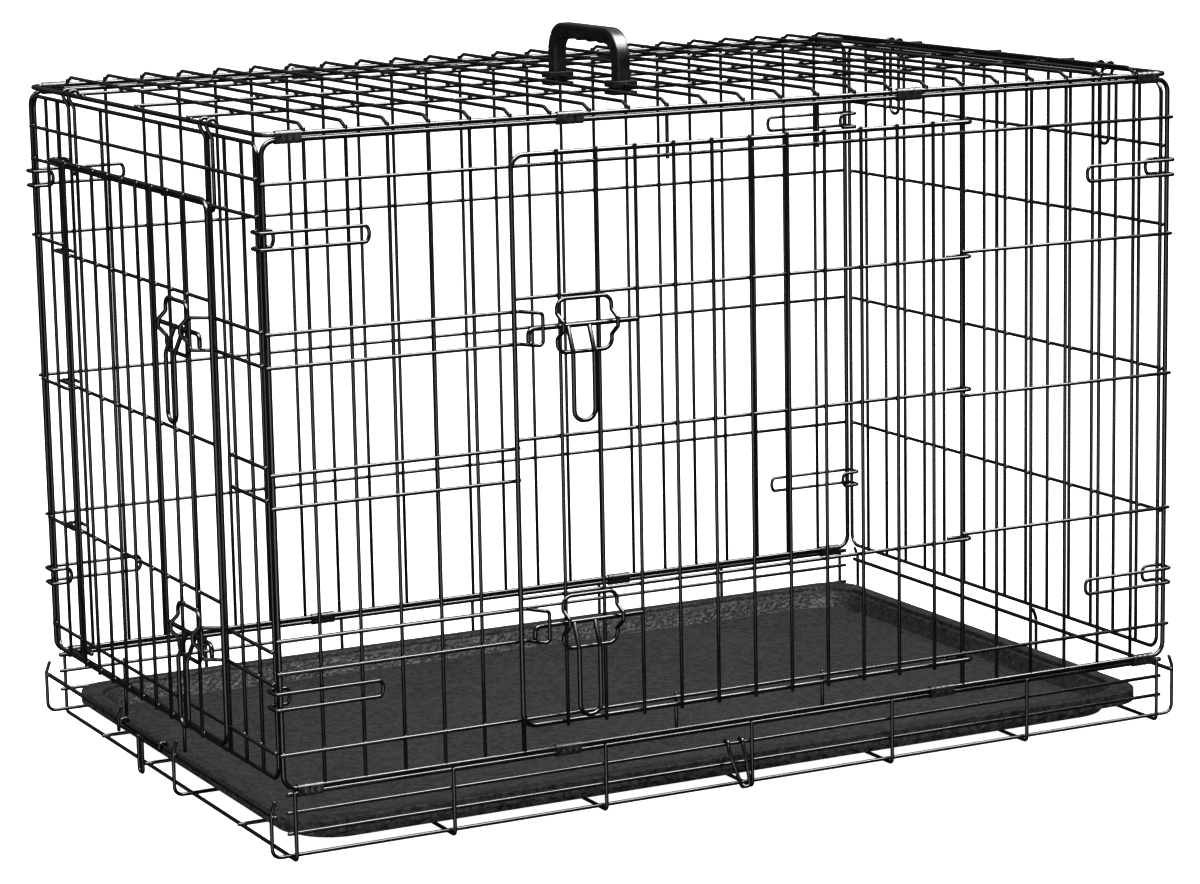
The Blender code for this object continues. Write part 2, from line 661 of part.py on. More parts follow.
def build_sleeve(name, x, half, y_sign, heights, material):
    """Make a crimped sleeve round two border wires, one above the other."""
    bm = bmesh.new()
    edges = []
    for grow in (0, SLEEVE_WALL):
        outline = sleeve_outline(grow, *heights)
        verts = [bm.verts.new((x - half, y_sign * HALF_DEPTH + y, z)) for y, z in outline]
        edges += [bm.edges.new((verts[i - 1], verts[i])) for i in range(len(verts))]
    bmesh.ops.bridge_loops(bm, edges=edges)
    extruded = bmesh.ops.extrude_face_region(bm, geom=bm.faces[:])["geom"]
    verts = [item for item in extruded if isinstance(item, bmesh.types.BMVert)]
    bmesh.ops.translate(bm, vec=(2 * half, 0, 0), verts=verts)
    return add_node(name, [bm], material)


def build_sleeves(material):
    middle = (-MIDDLE_SLEEVE_X, MIDDLE_SLEEVE_X)
    left_past, right_past = FRONT_LOW_SLEEVES_PAST
    front_low = (-BASE_CELL - left_past, BASE_CELL + right_past)
    rows = [
        ("top_front", -1, middle, (PANEL_TOP, TOP_HEIGHT)),
        ("top_back", 1, middle, (PANEL_TOP, TOP_HEIGHT)),
        ("low_front", -1, front_low, (LIP_TOP, PANEL_BOTTOM)),
        ("low_back", 1, middle, (LIP_TOP, PANEL_BOTTOM)),
    ]
    for row, y_sign, middle_x, heights in rows:
        places = [(-CORNER_SLEEVE_X, CORNER_SLEEVE_HALF)]
        places += [(x, SLEEVE_HALF) for x in middle_x]
        places += [(CORNER_SLEEVE_X, CORNER_SLEEVE_HALF)]
        for number, (x, half) in enumerate(places, 1):
            build_sleeve(f"sleeve_{row}_{number}", x, half, y_sign, heights, material)


def build_base(material):
    """Make the pan carrier: bent cross wires, floor wires, lips, end bars and their legs."""
    cross, long_bars, ends, legs = (bmesh.new() for _ in range(4))
    low = WIRE_R * FLAT
    lip_w = HALF_DEPTH + WIRE_R * FLAT + WIRE_R - WELD_BITE
    for index in range(BASE_CELLS + 1):
        x = (index - BASE_CELLS / 2) * BASE_CELL
        path = [(x, -lip_w, LIP_TOP + OVERHANG / 2), (x, -lip_w, low), (x, lip_w, low),
                (x, lip_w, LIP_TOP + OVERHANG / 2)]
        wire(cross, bent(path, LIP_BEND), WIRE_R, Vector((1, 0, 0)))
    floor_z = 2 * low + WIRE_R - WELD_BITE
    for step in (-1.5, 0.5, 1.5):
        y = step * FLOOR_BAR_SPACING
        straight(long_bars, (-FLOOR_BAR_END, y, floor_z), (FLOOR_BAR_END, y, floor_z), WIRE_R, UP)
    for y_sign in (-1, 1):
        out = Vector((0, y_sign, 0))
        y = y_sign * HALF_DEPTH
        end = HALF_LENGTH - LIP_BAR_SETBACK
        for z, radius in ((LIP_TOP, BORDER_R), (LIP_BARS_Z[0], WIRE_R), (LIP_BARS_Z[1], WIRE_R)):
            straight(long_bars, (-end, y, z), (end, y, z), radius, out)
    corner_y = HALF_DEPTH - CORNER_INSET
    corner_z = floor_z + CORNER_INSET
    for y, z in ((-FLOOR_BAR_SPACING / 2, floor_z), (-corner_y, corner_z), (corner_y, corner_z)):
        wire(long_bars, leg_path(y, z), WIRE_R, Vector((0, 1, 0)))
    reach = corner_y + OVERHANG
    for x, z in ((-END_BAR_X, LEFT_BAR_Z), (END_BAR_X, RIGHT_BAR_Z)):
        straight(ends, (x, -reach, z), (x, reach, z), END_BAR_R, Vector((1, 0, 0)))
    wire(legs, tip_path(-1, LONE_HOOK_Y), WIRE_R, Vector((0, 1, 0)))
    return add_node("base_frame", [cross, long_bars, ends, legs], material)


def leg_x():
    return END_BAR_X + END_BAR_R + WIRE_R * FLAT - WELD_BITE


def tip_path(x_sign, y):
    """Give the end of a leg: up past its bar and bent in over it."""
    bar_z = LEFT_BAR_Z if x_sign < 0 else RIGHT_BAR_Z
    x = leg_x()
    return [
        (x_sign * x, y, bar_z - TIP_TAIL),
        (x_sign * x, y, bar_z + TIP_KNEE),
        (x_sign * (x - TIP_LEAN), y, bar_z + TIP_RISE),
    ]


def leg_path(y, z):
    """Give a floor wire whose two ends turn up into legs."""
    left, right = tip_path(-1, y)[1:], tip_path(1, y)[1:]
    turned = bent([left[0], (-leg_x(), y, z), (leg_x(), y, z), right[0]], LEG_BEND)
    return [left[1], *turned, right[1]]


def build_pan_stop(material, parent):
    """Make the drop loop that keeps the pan in: a wire slung under the end bar, hooked over it."""
    bm = bmesh.new()
    bar = Vector((-END_BAR_X, 0, LEFT_BAR_Z))
    ring = END_BAR_R + CLEARANCE + WIRE_R
    back, front = STOP_ENDS_Y
    near, far = STOP_LOOP_Y

    def hook(y):
        return [
            bar + Vector((ring * math.cos(HOOK_STEP * k), y, ring * math.sin(HOOK_STEP * k)))
            for k in range(6)
        ]

    under = bar - UP * ring
    low = Vector((bar.x, 0, STOP_LOOP_BOTTOM))

    def along(y):
        return Vector((0, y, 0))

    start = under + along(back - STOP_HOOK_STEP)
    path = hook(back) + bent([
        start,
        under + along(near),
        low + along(near),
        low + along(far),
        under + along(far),
        under + along(front + STOP_HOOK_STEP),
    ], TIGHT_BEND) + hook(front)[::-1]
    wire(bm, path, WIRE_R, Vector((1, 0, 0)))
    return add_node("pan_stop", [bm], material, bar, parent)


def build_front_clip(material, parent):
    """Make the loose hook that hangs on the front lip of the base."""
    bm = bmesh.new()
    z = LIP_BARS_Z[0]
    ring = WIRE_R + CLEARANCE + WIRE_R

    def hook(x):
        return [
            (x, -HALF_DEPTH + ring * math.cos(HOOK_STEP * k), z + ring * math.sin(HOOK_STEP * k))
            for k in range(5)
        ]

    left, right = CLIP_TOPS_X
    y = -HALF_DEPTH - ring
    out_y = y - CLIP_STAND_OFF
    path = hook(left) + [(left, y, z - CLIP_NECK)]
    path += bent([
        (left, out_y, z - CLIP_SHOULDER),
        (CLIP_FOOT_X[0], out_y, CLIP_FOOT_Z),
        (CLIP_FOOT_X[1], out_y, CLIP_FOOT_Z),
        (right, out_y, z - CLIP_SHOULDER),
    ], TIGHT_BEND)
    path += [(right, y, z - CLIP_NECK)] + hook(right)[::-1]
    wire(bm, path, WIRE_R, Vector((1, 0, 0)))
    return add_node("front_clip", [bm], material, (0, -HALF_DEPTH, z), parent)


def rounded_outline(half_x, half_y, corner, z, steps):
    """Give a rectangle with round corners."""
    points = []
    for quarter, (x_sign, y_sign) in enumerate(((1, 1), (-1, 1), (-1, -1), (1, -1))):
        centre = Vector((x_sign * (half_x - corner), y_sign * (half_y - corner), z))
        for k in range(steps + 1):
            angle = math.pi / 2 * (quarter + k / steps)
            points.append(centre + corner * Vector((math.cos(angle), math.sin(angle), 0)))
    return points


def build_pan(material):
    """Make the moulded tray as a shell: its section is turned into rings, from the floor outwards."""
    bm = bmesh.new()
    bottom = 2 * WIRE_R * FLAT + 2 * WIRE_R - WELD_BITE + CLEARANCE
    wall_x = PAN_RIM_WIDTH + PAN_DRAFT
    section = [
        (wall_x + PAN_FILLET, bottom),
        (wall_x, bottom + PAN_FILLET),
        (PAN_RIM_WIDTH, PAN_RIM_Z - PAN_WALL),
        (0.0, PAN_RIM_Z - PAN_WALL),
        (0.0, PAN_RIM_Z),
        (PAN_RIM_WIDTH + PAN_WALL, PAN_RIM_Z),
        (wall_x + PAN_WALL, bottom + PAN_WALL + PAN_INNER_FILLET),
        (wall_x + PAN_WALL + PAN_FILLET, bottom + PAN_WALL),
    ]
    rings = []
    for inset, z in section:
        outline = rounded_outline(
            PAN_HALF_X - inset, PAN_HALF_Y - inset, PAN_CORNER - inset, z, PAN_CORNER_STEPS)
        verts = [bm.verts.new(point) for point in outline]
        rings.append([bm.edges.new((verts[i - 1], verts[i])) for i in range(len(verts))])
    for inner, outer in zip(rings, rings[1:]):
        bmesh.ops.bridge_loops(bm, edges=inner + outer)
    for ring in (rings[0], rings[-1]):
        bmesh.ops.holes_fill(bm, edges=ring, sides=len(ring))
    return add_node("floor_pan", [bm], material)


def handle_section(centre, across, half_x, half_thick):
    """Give an eight-point section of the handle, square to its path."""
    cut = half_thick * 0.5
    shape = [
        (half_x, cut), (half_x - cut, half_thick), (cut - half_x, half_thick), (-half_x, cut),
        (-half_x, -cut), (cut - half_x, -half_thick), (half_x - cut, -half_thick), (half_x, -cut),
    ]
    return [centre + Vector((x, 0, 0)) + across * t for x, t in shape]


def build_handle(material):
    """Make the carry handle: an arch on two feet, with finger hollows cut under its grip."""
    arch, feet, grooves, cross_grooves, fingers = (bmesh.new() for _ in range(5))
    x = rod_u(HANDLE_ROD)
    back, front = HANDLE_FEET_Y
    top = HANDLE_TOP - HANDLE_THICK
    foot_top = rib_z() + WIRE_R + CLEARANCE + FOOT_CAP
    arch_foot = foot_top - FOOT_CAP / 2
    path = bent([(x, back, arch_foot), (x, back, top), (x, front, top), (x, front, arch_foot)],
                HANDLE_CORNER, steps=4)
    rings = []
    for i, point in enumerate(path):
        run = (path[min(i + 1, len(path) - 1)] - path[max(i - 1, 0)]).normalized()
        across = run.cross(Vector((1, 0, 0)))
        verts = [arch.verts.new(v) for v in handle_section(point, across, HANDLE_HALF_X, HANDLE_THICK)]
        rings.append([arch.edges.new((verts[k - 1], verts[k])) for k in range(len(verts))])
    for lower, upper in zip(rings, rings[1:]):
        bmesh.ops.bridge_loops(arch, edges=lower + upper)
    for ring in (rings[0], rings[-1]):
        bmesh.ops.holes_fill(arch, edges=ring, sides=len(ring))
    plate_top = runner_z() - WIRE_R - CLEARANCE
    for y in HANDLE_FEET_Y:
        low, high = plate_top - FOOT_PLATE, foot_top
        size = Vector((2 * FOOT_HALF_X, 2 * FOOT_HALF_Y, high - low))
        block = bmesh.ops.create_cube(feet, size=1)["verts"]
        bmesh.ops.scale(feet, vec=size, verts=block)
        bmesh.ops.translate(feet, vec=(x, y, (low + high) / 2), verts=block)
        groove = (WIRE_R + CLEARANCE) / FLAT
        reach = 2 * FOOT_HALF_X
        straight(grooves, (x - reach, y, runner_z()), (x + reach, y, runner_z()), groove, UP)
        straight(cross_grooves, (x, y - reach, rib_z()), (x, y + reach, rib_z()), groove, UP)
    span = (back - front) - 2 * HANDLE_CORNER
    for k in range(SCALLOPS):
        y = front + HANDLE_CORNER + span * (k + 0.5) / SCALLOPS
        z = top - HANDLE_THICK - SCALLOP_R + SCALLOP_DEPTH
        place = Matrix.Translation((x, y, z)) @ Matrix.Rotation(math.pi / 2, 4, "Y")
        bmesh.ops.create_cone(
            fingers, cap_ends=True, segments=SCALLOP_SIDES, radius1=SCALLOP_R, radius2=SCALLOP_R,
            depth=4 * HANDLE_HALF_X, matrix=place)
    handle = add_node("carry_handle", [arch, feet], material)
    for name, bm in (("runner_groove", grooves), ("rib_groove", cross_grooves), ("finger_cut", fingers)):
        bmesh.ops.recalc_face_normals(bm, faces=bm.faces[:])
        mesh = bpy.data.meshes.new(name)
        bm.to_mesh(mesh)
        bm.free()
        tool = bpy.data.objects.new(name, mesh)
        bpy.context.collection.objects.link(tool)
        add_boolean(handle, tool, "DIFFERENCE")
    return handle


def build_latches(prefix, side, w, tip, heights, material, door):
    for level_name, z in zip(("upper", "lower"), heights):
        build_guide(f"{prefix}_guide_{level_name}", side, w, tip, z, material, door)
        build_bolt(f"{prefix}_bolt_{level_name}", side, w, tip, z, material, door)


def main():
    clear_scene()
    coated = new_material("coated_wire", (0.012, 0.012, 0.013), 0.32, 0.0)
    sheet = new_material("crimped_sheet", (0.016, 0.016, 0.017), 0.38, 0.0)
    pan = new_material("pan_plastic", (0.018, 0.018, 0.019), 0.55)
    grip = new_material("grip_plastic", (0.014, 0.014, 0.015), 0.42)
    base = build_base(coated)
    build_front_panel(coated)
    build_back_panel(coated)
    build_top_panel(coated)
    build_sleeves(sheet)
    build_right_end(coated)
    left_end = build_left_end(coated)
    front_door = build_door(
        "front_door", "front", HALF_DEPTH, rod_u(FRONT_JAMBS[1]), FRONT_DOOR_LEFT,
        FRONT_DOOR_Z, FRONT_DOOR_BARS_Z, [rod_u(i) for i in FRONT_DOOR_RODS], coated)
    build_latches("front", "front", HALF_DEPTH, FRONT_KEEPER_END - BOLT_INSET, FRONT_BOLTS_Z,
                  coated, front_door)
    left_door = build_door(
        "left_door", "left", HALF_LENGTH, END_JAMB_U, LEFT_DOOR_LATCH_U,
        LEFT_DOOR_Z, LEFT_DOOR_BARS_Z, [end_u(i) for i in LEFT_DOOR_RODS], coated, left_end)
    build_latches("left", "left", HALF_LENGTH, LEFT_KEEPER_END - BOLT_INSET, LEFT_BOLTS_Z,
                  coated, left_door)
    for x_name, x_sign in (("left", -1), ("right", 1)):
        for y_name, y_sign in (("front", -1), ("back", 1)):
            for z_name, z in zip(("upper", "lower"), SNAP_Z):
                build_snap_loop(f"snap_{y_name}_{x_name}_{z_name}", x_sign, y_sign, z, coated)
    build_pan_stop(coated, base)
    build_front_clip(coated, base)
    build_pan(pan)
    build_handle(grip)


main()
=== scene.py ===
"""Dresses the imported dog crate: coated round wire, crimped sleeves, a moulded pan and grip.

Metres, +Z up, +X along the long side, -Y towards the main door.
Sizes and wire paths repeat the model's source, so that every piece lies where its solid lies.
"""

import math

import bmesh
import bpy
from mathutils import Matrix, Vector


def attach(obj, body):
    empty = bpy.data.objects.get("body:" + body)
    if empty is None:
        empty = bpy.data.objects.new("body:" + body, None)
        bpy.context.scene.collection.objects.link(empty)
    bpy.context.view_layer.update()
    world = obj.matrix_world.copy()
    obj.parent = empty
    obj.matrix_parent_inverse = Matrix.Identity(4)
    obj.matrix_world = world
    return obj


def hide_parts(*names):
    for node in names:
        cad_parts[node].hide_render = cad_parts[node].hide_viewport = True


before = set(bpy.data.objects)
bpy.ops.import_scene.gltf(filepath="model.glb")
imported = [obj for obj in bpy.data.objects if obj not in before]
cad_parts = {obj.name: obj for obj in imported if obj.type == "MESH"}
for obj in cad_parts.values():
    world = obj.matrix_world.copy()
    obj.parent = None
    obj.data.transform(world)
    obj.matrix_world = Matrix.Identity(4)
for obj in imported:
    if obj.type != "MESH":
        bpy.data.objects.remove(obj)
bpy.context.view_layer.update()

# Wire gauges, as the radius to the corners of the model's six-sided sections.
BORDER_R = 0.0023
WIRE_R = 0.0017
JAMB_R = 0.0021
ROD_R = 0.0022
FLAT = math.cos(math.pi / 6)
WELD_BITE = 0.0004
CLEARANCE = 0.0003
CURL_CLEARANCE = 0.0005
OVERHANG = 0.004
CORNER_BEND = 0.012
SMALL_BEND = 0.005
TIGHT_BEND = 0.003
HOOK_STEP = math.pi / 4

# Overall size of the folding cage, measured to the wire centre lines.
PITCH = 0.0381
LONG_CELLS = 24
HALF_LENGTH = PITCH * LONG_CELLS / 2
HALF_DEPTH = 0.292
PANEL_BOTTOM = 0.065
PANEL_TOP = 0.619
STACK_GAP = 0.0002
TOP_HEIGHT = PANEL_TOP + 2 * BORDER_R + STACK_GAP
LIP_TOP = PANEL_BOTTOM - 2 * BORDER_R
# The end panels swing between the tails of the hinge curls inside the front panel.
CURL_DEPTH = JAMB_R + CURL_CLEARANCE + 2 * BORDER_R
END_HALF = HALF_DEPTH - CURL_DEPTH - BORDER_R - CLEARANCE
END_CELLS = 15
END_MARGIN = 0.006
END_PITCH = 2 * (HALF_DEPTH - END_MARGIN) / END_CELLS
END_TOP_DROP = 0.0078
END_TOP = TOP_HEIGHT - END_TOP_DROP
END_BOTTOM_RISE = 0.006
END_BOTTOM = PANEL_BOTTOM + END_BOTTOM_RISE
RIGHT_BOTTOM_RISE = 0.0044
RIGHT_BOTTOM = PANEL_BOTTOM + RIGHT_BOTTOM_RISE

# Distance of each layer of wire from its panel's border layer, going outwards.
# Uprights lie in the border's layer; bars cross outside it, welded to the heavier posts and jambs.
CROSS_STEP = BORDER_R + WIRE_R - WELD_BITE
DOOR_STEP = CROSS_STEP + WIRE_R + CLEARANCE + BORDER_R
DOOR_RODS_STEP = DOOR_STEP + CROSS_STEP
GUIDE_STEP = DOOR_RODS_STEP + 2 * WIRE_R + CLEARANCE
BOLT_STEP = DOOR_RODS_STEP + WIRE_R + CLEARANCE + ROD_R
KEEPER_STEP = BOLT_STEP + ROD_R + CLEARANCE + WIRE_R
GUIDE_BUMP_PROUD = 0.0015
GUIDE_BUMP_STEP = KEEPER_STEP + GUIDE_BUMP_PROUD
HANDLE_STAND_OFF = 0.010
HANDLE_STEP = BOLT_STEP + HANDLE_STAND_OFF

# Main door, which swings about the front jamb to the right of its opening.
FRONT_HIGH_BAR_DROP = 0.0357
FRONT_LOW_BAR_RISE = 0.031
FRONT_BARS_Z = (PANEL_TOP - FRONT_HIGH_BAR_DROP, PANEL_BOTTOM + FRONT_LOW_BAR_RISE)
FRONT_RIGHT_BARS_Z = (PANEL_TOP - 0.1454, 0.3402, 0.210)
FRONT_JAMBS = (6, 18)
FRONT_STUBS = (10, 14)
FRONT_LATCH_X = (FRONT_JAMBS[0] - LONG_CELLS / 2) * PITCH
FRONT_DOOR_LEFT = FRONT_LATCH_X - 0.0039
FRONT_DOOR_Z = (FRONT_BARS_Z[1] - 0.005, FRONT_BARS_Z[0] + 0.0097)
FRONT_DOOR_BARS_Z = (0.2058, 0.3463, PANEL_TOP - 0.1495)
FRONT_DOOR_RODS = range(7, 18)
FRONT_BOLTS_Z = (PANEL_TOP - 0.1754, 0.1812)
FRONT_KEEPER_END = FRONT_LATCH_X + 0.0176
FRONT_STOP_Z = 0.324
FRONT_STOP_END = FRONT_LATCH_X - 0.0011

# Side door, which swings about a jamb of the left end panel.
END_BARS_Z = (END_TOP - 0.0292, END_TOP - 0.0606, END_BOTTOM + 0.0245)
END_JAMB_INSET = 0.0678
END_JAMB_U = END_HALF - END_JAMB_INSET
END_LATCH_JAMB = 12
END_STUBS = (5, 9)
END_BACK_BARS_Z = (END_TOP - 0.1365, 0.340, 0.2025)
LEFT_LATCH_INSET = 0.0982
LEFT_DOOR_LATCH_U = LEFT_LATCH_INSET - END_HALF
LEFT_DOOR_Z = (END_BARS_Z[2] - 0.0155, END_BARS_Z[1] + 0.0046)
LEFT_DOOR_BARS_Z = (0.208, 0.348, END_TOP - 0.1425)
LEFT_DOOR_RODS = range(3, 12)
LEFT_BOLTS_Z = (END_TOP - 0.172, 0.170)
LEFT_KEEPER_END = LEFT_DOOR_LATCH_U + 0.021
LEFT_STOP_Z = 0.329
LEFT_STOP_END = LEFT_DOOR_LATCH_U - 0.020
TONGUE_BOTTOM = END_BOTTOM - 0.028

# Slide bolts: distances run from the bolt's bent tip, away from the keeper.
HAIRPIN_HALF = 0.0142
KEEPER_LEAD = 0.005
KEEPER_RAMP = 0.010
KEEPER_BEND = 0.004
STOP_BEND = 0.002
BOLT_INSET = 0.012
BOLT_LENGTH = 0.107
BOLT_TIP_DROP = 0.012
GUIDE_START = 0.028
GUIDE_LENGTH = 0.053
GUIDE_HALF = 0.0235
GUIDE_BUMP_SHIFT = 0.003
GUIDE_BUMP_HALF = 0.0035
GUIDE_BUMP_FOOT = 0.011
HANDLE_START = 0.038
HANDLE_WIDTH = 0.0205
HANDLE_SLANT = 0.0225
HANDLE_DROP = 0.0825
CURL_TAIL = 0.014

# Rest of the back and right panels.
BACK_BARS_Z = [PANEL_BOTTOM + (PANEL_TOP - PANEL_BOTTOM) * k / 4 for k in (1, 2, 3)]
RIGHT_BARS_Z = (END_TOP - 0.0606, END_TOP - 0.1353, 0.3423, RIGHT_BOTTOM + 0.1351)

# Top panel and the hangers that the end panels swing on.
RUNNERS_Y = (0.142, -0.006, -0.134)
RIB_FOOT = 0.005
RIB_SLOPE = 0.008
HANGERS_U = {"left": (0.175, -0.175), "right": (0.190, -0.190)}
HANGER_HALF = 0.008
HANGER_LENGTH = 0.066
HANGER_BOTTOM = END_TOP - HANGER_LENGTH
HANGER_CURL_R = 0.005
HANGER_CURL_FROM = math.radians(-30)
HANGER_CURL_TURN = math.radians(240)

# Snap loops that hold the end panels at the corners.
SNAP_DROP = 0.080
SNAP_Z = (END_TOP - SNAP_DROP, 0.143)
SNAP_HALF = 0.007
SNAP_REACH = 0.0892
SNAP_HOOK = 0.0102
SNAP_PROUD = 0.0062
SNAP_END = HALF_LENGTH - SNAP_REACH
SNAP_RETURN = HALF_LENGTH - SNAP_HOOK
SNAP_OUT_X = HALF_LENGTH + SNAP_PROUD
SNAP_BEND = 0.0045
SNAP_NOSE = 0.004

# Crimped sleeves that tie neighbouring panels along their long edges.
SLEEVE_HALF = 0.0125
CORNER_SLEEVE_HALF = 0.0115
CORNER_SLEEVE_INSET = 0.0237
CORNER_SLEEVE_X = HALF_LENGTH - CORNER_SLEEVE_INSET
MIDDLE_SLEEVE_X = 4.5 * PITCH
FRONT_LOW_SLEEVES_PAST = (0.0365, 0.0555)

# Base frame that carries the pan.
BASE_CELLS = 6
BASE_MARGIN = 0.0087
BASE_CELL = 2 * (HALF_LENGTH - BASE_MARGIN) / BASE_CELLS
LIP_BAR_DROPS = (0.0164, 0.0349)
LIP_BARS_Z = [LIP_TOP - drop for drop in LIP_BAR_DROPS]
LIP_BEND = 0.004
LIP_BAR_SETBACK = 0.002
FLOOR_BAR_SPACING = 2 * HALF_DEPTH / 5
FLOOR_BAR_SETBACK = 0.0022
FLOOR_BAR_END = HALF_LENGTH - FLOOR_BAR_SETBACK
CORNER_INSET = 0.0012
END_BAR_PROUD = 0.0093
END_BAR_X = HALF_LENGTH + END_BAR_PROUD
END_BAR_R = 0.0020
LEFT_BAR_Z = 0.042
RIGHT_BAR_Z = 0.049
LEG_BEND = 0.008
TIP_RISE = 0.014
TIP_KNEE = 0.003
TIP_LEAN = 0.004
TIP_TAIL = 0.010
LONE_HOOK_Y = 0.085

# Wire stops that hang on the base frame.
STOP_ENDS_Y = (0.077, -0.025)
STOP_LOOP_Y = (0.041, 0.031)
STOP_LOOP_BOTTOM = 0.004
STOP_HOOK_STEP = 0.004
STOP_HOOK_TURN = 5 * HOOK_STEP
CLIP_TOPS_X = (-0.025, -0.010)
CLIP_FOOT_X = (-0.014, -0.0055)
CLIP_FOOT_Z = 0.004
CLIP_STAND_OFF = 0.0045
CLIP_NECK = 0.004
CLIP_SHOULDER = 0.010
CLIP_HOOK_TURN = 4 * HOOK_STEP

# Floor pan.
PAN_END_GAP = 0.0112
PAN_SIDE_GAP = 0.007
PAN_HALF_X = HALF_LENGTH - PAN_END_GAP
PAN_HALF_Y = HALF_DEPTH - PAN_SIDE_GAP
PAN_RIM_Z = 0.030
PAN_WALL = 0.003
PAN_FILLET = 0.004
PAN_CORNER = 0.035

# Carry handle, clipped round two crossings of the top panel.
HANDLE_ROD = 11
HANDLE_FEET_Y = RUNNERS_Y[1:]
HANDLE_RISE = 0.0582
HANDLE_TOP = TOP_HEIGHT + HANDLE_RISE
HANDLE_THICK = 0.0075
HANDLE_CORNER = 0.020
FOOT_HALF_X = 0.0125
FOOT_HALF_Y = 0.0095
FOOT_PLATE = 0.0032
FOOT_CAP = 0.002
FOOT_NECK_SHARES = (0.45, 0.75)
SCALLOPS = 4
SCALLOP_DEPTH = 0.003

# Details that only the visible pieces have.
END_BORDER_R = 0.0019
RAMP_BEND = 0.004
HANGER_FOOT_BEND = HANGER_HALF * 0.9
GUIDE_BEND = 0.0032
GUIDE_CORNER = 0.0085
GUIDE_WIRE_R = 0.0019
GUIDE_WELD_INSET = SMALL_BEND * 2
BOLT_HANDLE_R = 0.0021
BOLT_HANDLE_BEND = HANDLE_WIDTH * 0.45
SLEEVE_WALL = 0.0012
SLEEVE_SLACK = CLEARANCE * 0.6
SLEEVE_FLATNESS = 0.94
SLEEVE_WAIST = 0.0010
SLEEVE_SEAM = 0.0004
SLEEVE_SEAM_SHARE = 0.5
SLEEVE_NOTCH = 0.25
SLEEVE_PINCH = 0.4
# How hard the press pinches a sleeve, from its middle to its end: place and share of the waist.
SLEEVE_PINCHES = (
    (0.0, 1.0), (0.11, SLEEVE_PINCH), (0.39, SLEEVE_PINCH), (0.5, 1.0),
    (0.61, SLEEVE_PINCH), (0.93, SLEEVE_PINCH), (1.0, 0.3),
)
PAN_EDGE_ROUND = 0.0009
PAN_SKIRT_WALL = 0.0022
PAN_SKIRT_Z = 0.0178
PAN_FLANGE = 0.0135
PAN_LEDGE = 0.003
PAN_LEDGE_SLOPE = PAN_LEDGE / 4
PAN_LEDGE_Z = 0.0255
PAN_WELL_INSET = 0.023
PAN_WELL_CORNER = 0.047
PAN_FLAT_RING = 0.004
GRIP_HALF_X = 0.0068
GRIP_SQUARENESS = 7
GRIP_FLUTE = 0.0004
GRIP_FLUTES = 3
GRIP_BELOW_TOP = 1e-5
GRIP_STEP_LENGTH = 0.0009
LEG_TOOTH = 0.0009
LEG_TOOTH_PITCH = 0.0036
LEG_RISE = 0.034
FOOT_EDGE = 0.0008

# Studio.
FLOOR_HALF = 30.0
FLOOR_GLOW = 1.0
WORLD_BELOW = 0.03
WORLD_LOW = 0.2
WORLD_HIGH = 1.35
# The sky's height, from -1 straight down to 1 straight up, over which its light grows.
WORLD_HORIZON = (-0.04, 0.04)
WORLD_CEILING = (0.45, 0.65)
VIEW_GAMMA = 0.8
CAMERA_PLACE = (-1.5985, -3.11088, 0.92466)
CAMERA_TURN = (-0.47527, 0.18389, -0.01956)
CAMERA_FOCAL_PIXELS = 3678.32
CAMERA_IMAGE_WIDTH = 1200
CAMERA_SENSOR = 36
# Each lamp's place and target, width and height, power, and whether only reflections see it.
LAMPS = {
    "overhead_box": ((0.5, -1.9, 4.2), (0.5, -1.9, 0.0), 6.4, 3.9, 2500, True),
    "key_box": ((-1.2, -1.4, 3.4), (0, 0, 0.3), 2.0, 1.4, 36, False),
    "front_box": ((-1.5, -2.6, -0.35), (-0.2, 0, 0.2), 3.0, 1.5, 60, True),
}

# Fineness of the visible pieces.
WIRE_SIDES = 14
BEND_STEPS = 7
WIDE_BEND_STEPS = 14
SLIGHT_BEND_STEPS = 3
TIP_BEND_STEPS = 4
GUIDE_BEND_STEPS = 6
HANGER_FOOT_STEPS = 9
BOLT_HANDLE_STEPS = 10
HOOK_ARC_STEPS = 20
CURL_ARC_STEPS = 14
HANGER_ARC_STEPS = 20
SNAP_NOSE_STEPS = 10
SLEEVE_ARC_STEPS = 8
GRIP_SECTION_STEPS = 44
STRAIGHT_TURN = 1e-3
SHARP_ANGLE = math.radians(42)
END_ROUND = 0.7
# Rings of a wire's domed end, as shares of its length and of the wire's radius.
END_RINGS = ((0.62, 0.86), (1.0, 0.5))
WELD_WIDTH = 0.0023
WELD_DEPTH = 0.0021
BOX_MARGIN = 0.00045

# Patterns of the pan and the floor: scale, detail and roughness.
PAN_PEBBLES_SCALE = 330
PAN_GRAIN = (1500, 3, 0.6)
PAN_SCUFFS = (9, 5, 0.6)
PAN_SPECKLE = (150, 4, 0.8)
FLOOR_CLOUD = (1.5, 3)

RIGHT = Vector((1, 0, 0))
BACK = Vector((0, 1, 0))
UP = Vector((0, 0, 1))
# The way along each side, and the way outwards from it.
SIDES = {
    "front": (RIGHT, Vector((0, -1, 0))),
    "back": (RIGHT, BACK),
    "left": (BACK, Vector((-1, 0, 0))),
    "right": (BACK, RIGHT),
}
CORNERS = ((-1, -1), (1, -1), (1, 1), (-1, 1))


def on_side(side, u, w, z):
    """Place a point u along a side, w outwards from the crate's middle and z up."""
    along, out = SIDES[side]
    return along * u + out * w + UP * z


def rod_u(index):
    """Give the place of an upright along the front, back or top."""
    return (index - LONG_CELLS / 2) * PITCH


def end_u(index):
    """Give the place of an upright along an end panel, counted from the back."""
    return (END_CELLS / 2 - index) * END_PITCH


def runner_z():
    return TOP_HEIGHT + BORDER_R + WIRE_R - WELD_BITE


def rib_z():
    return runner_z() + 2 * WIRE_R + CLEARANCE


# Materials.


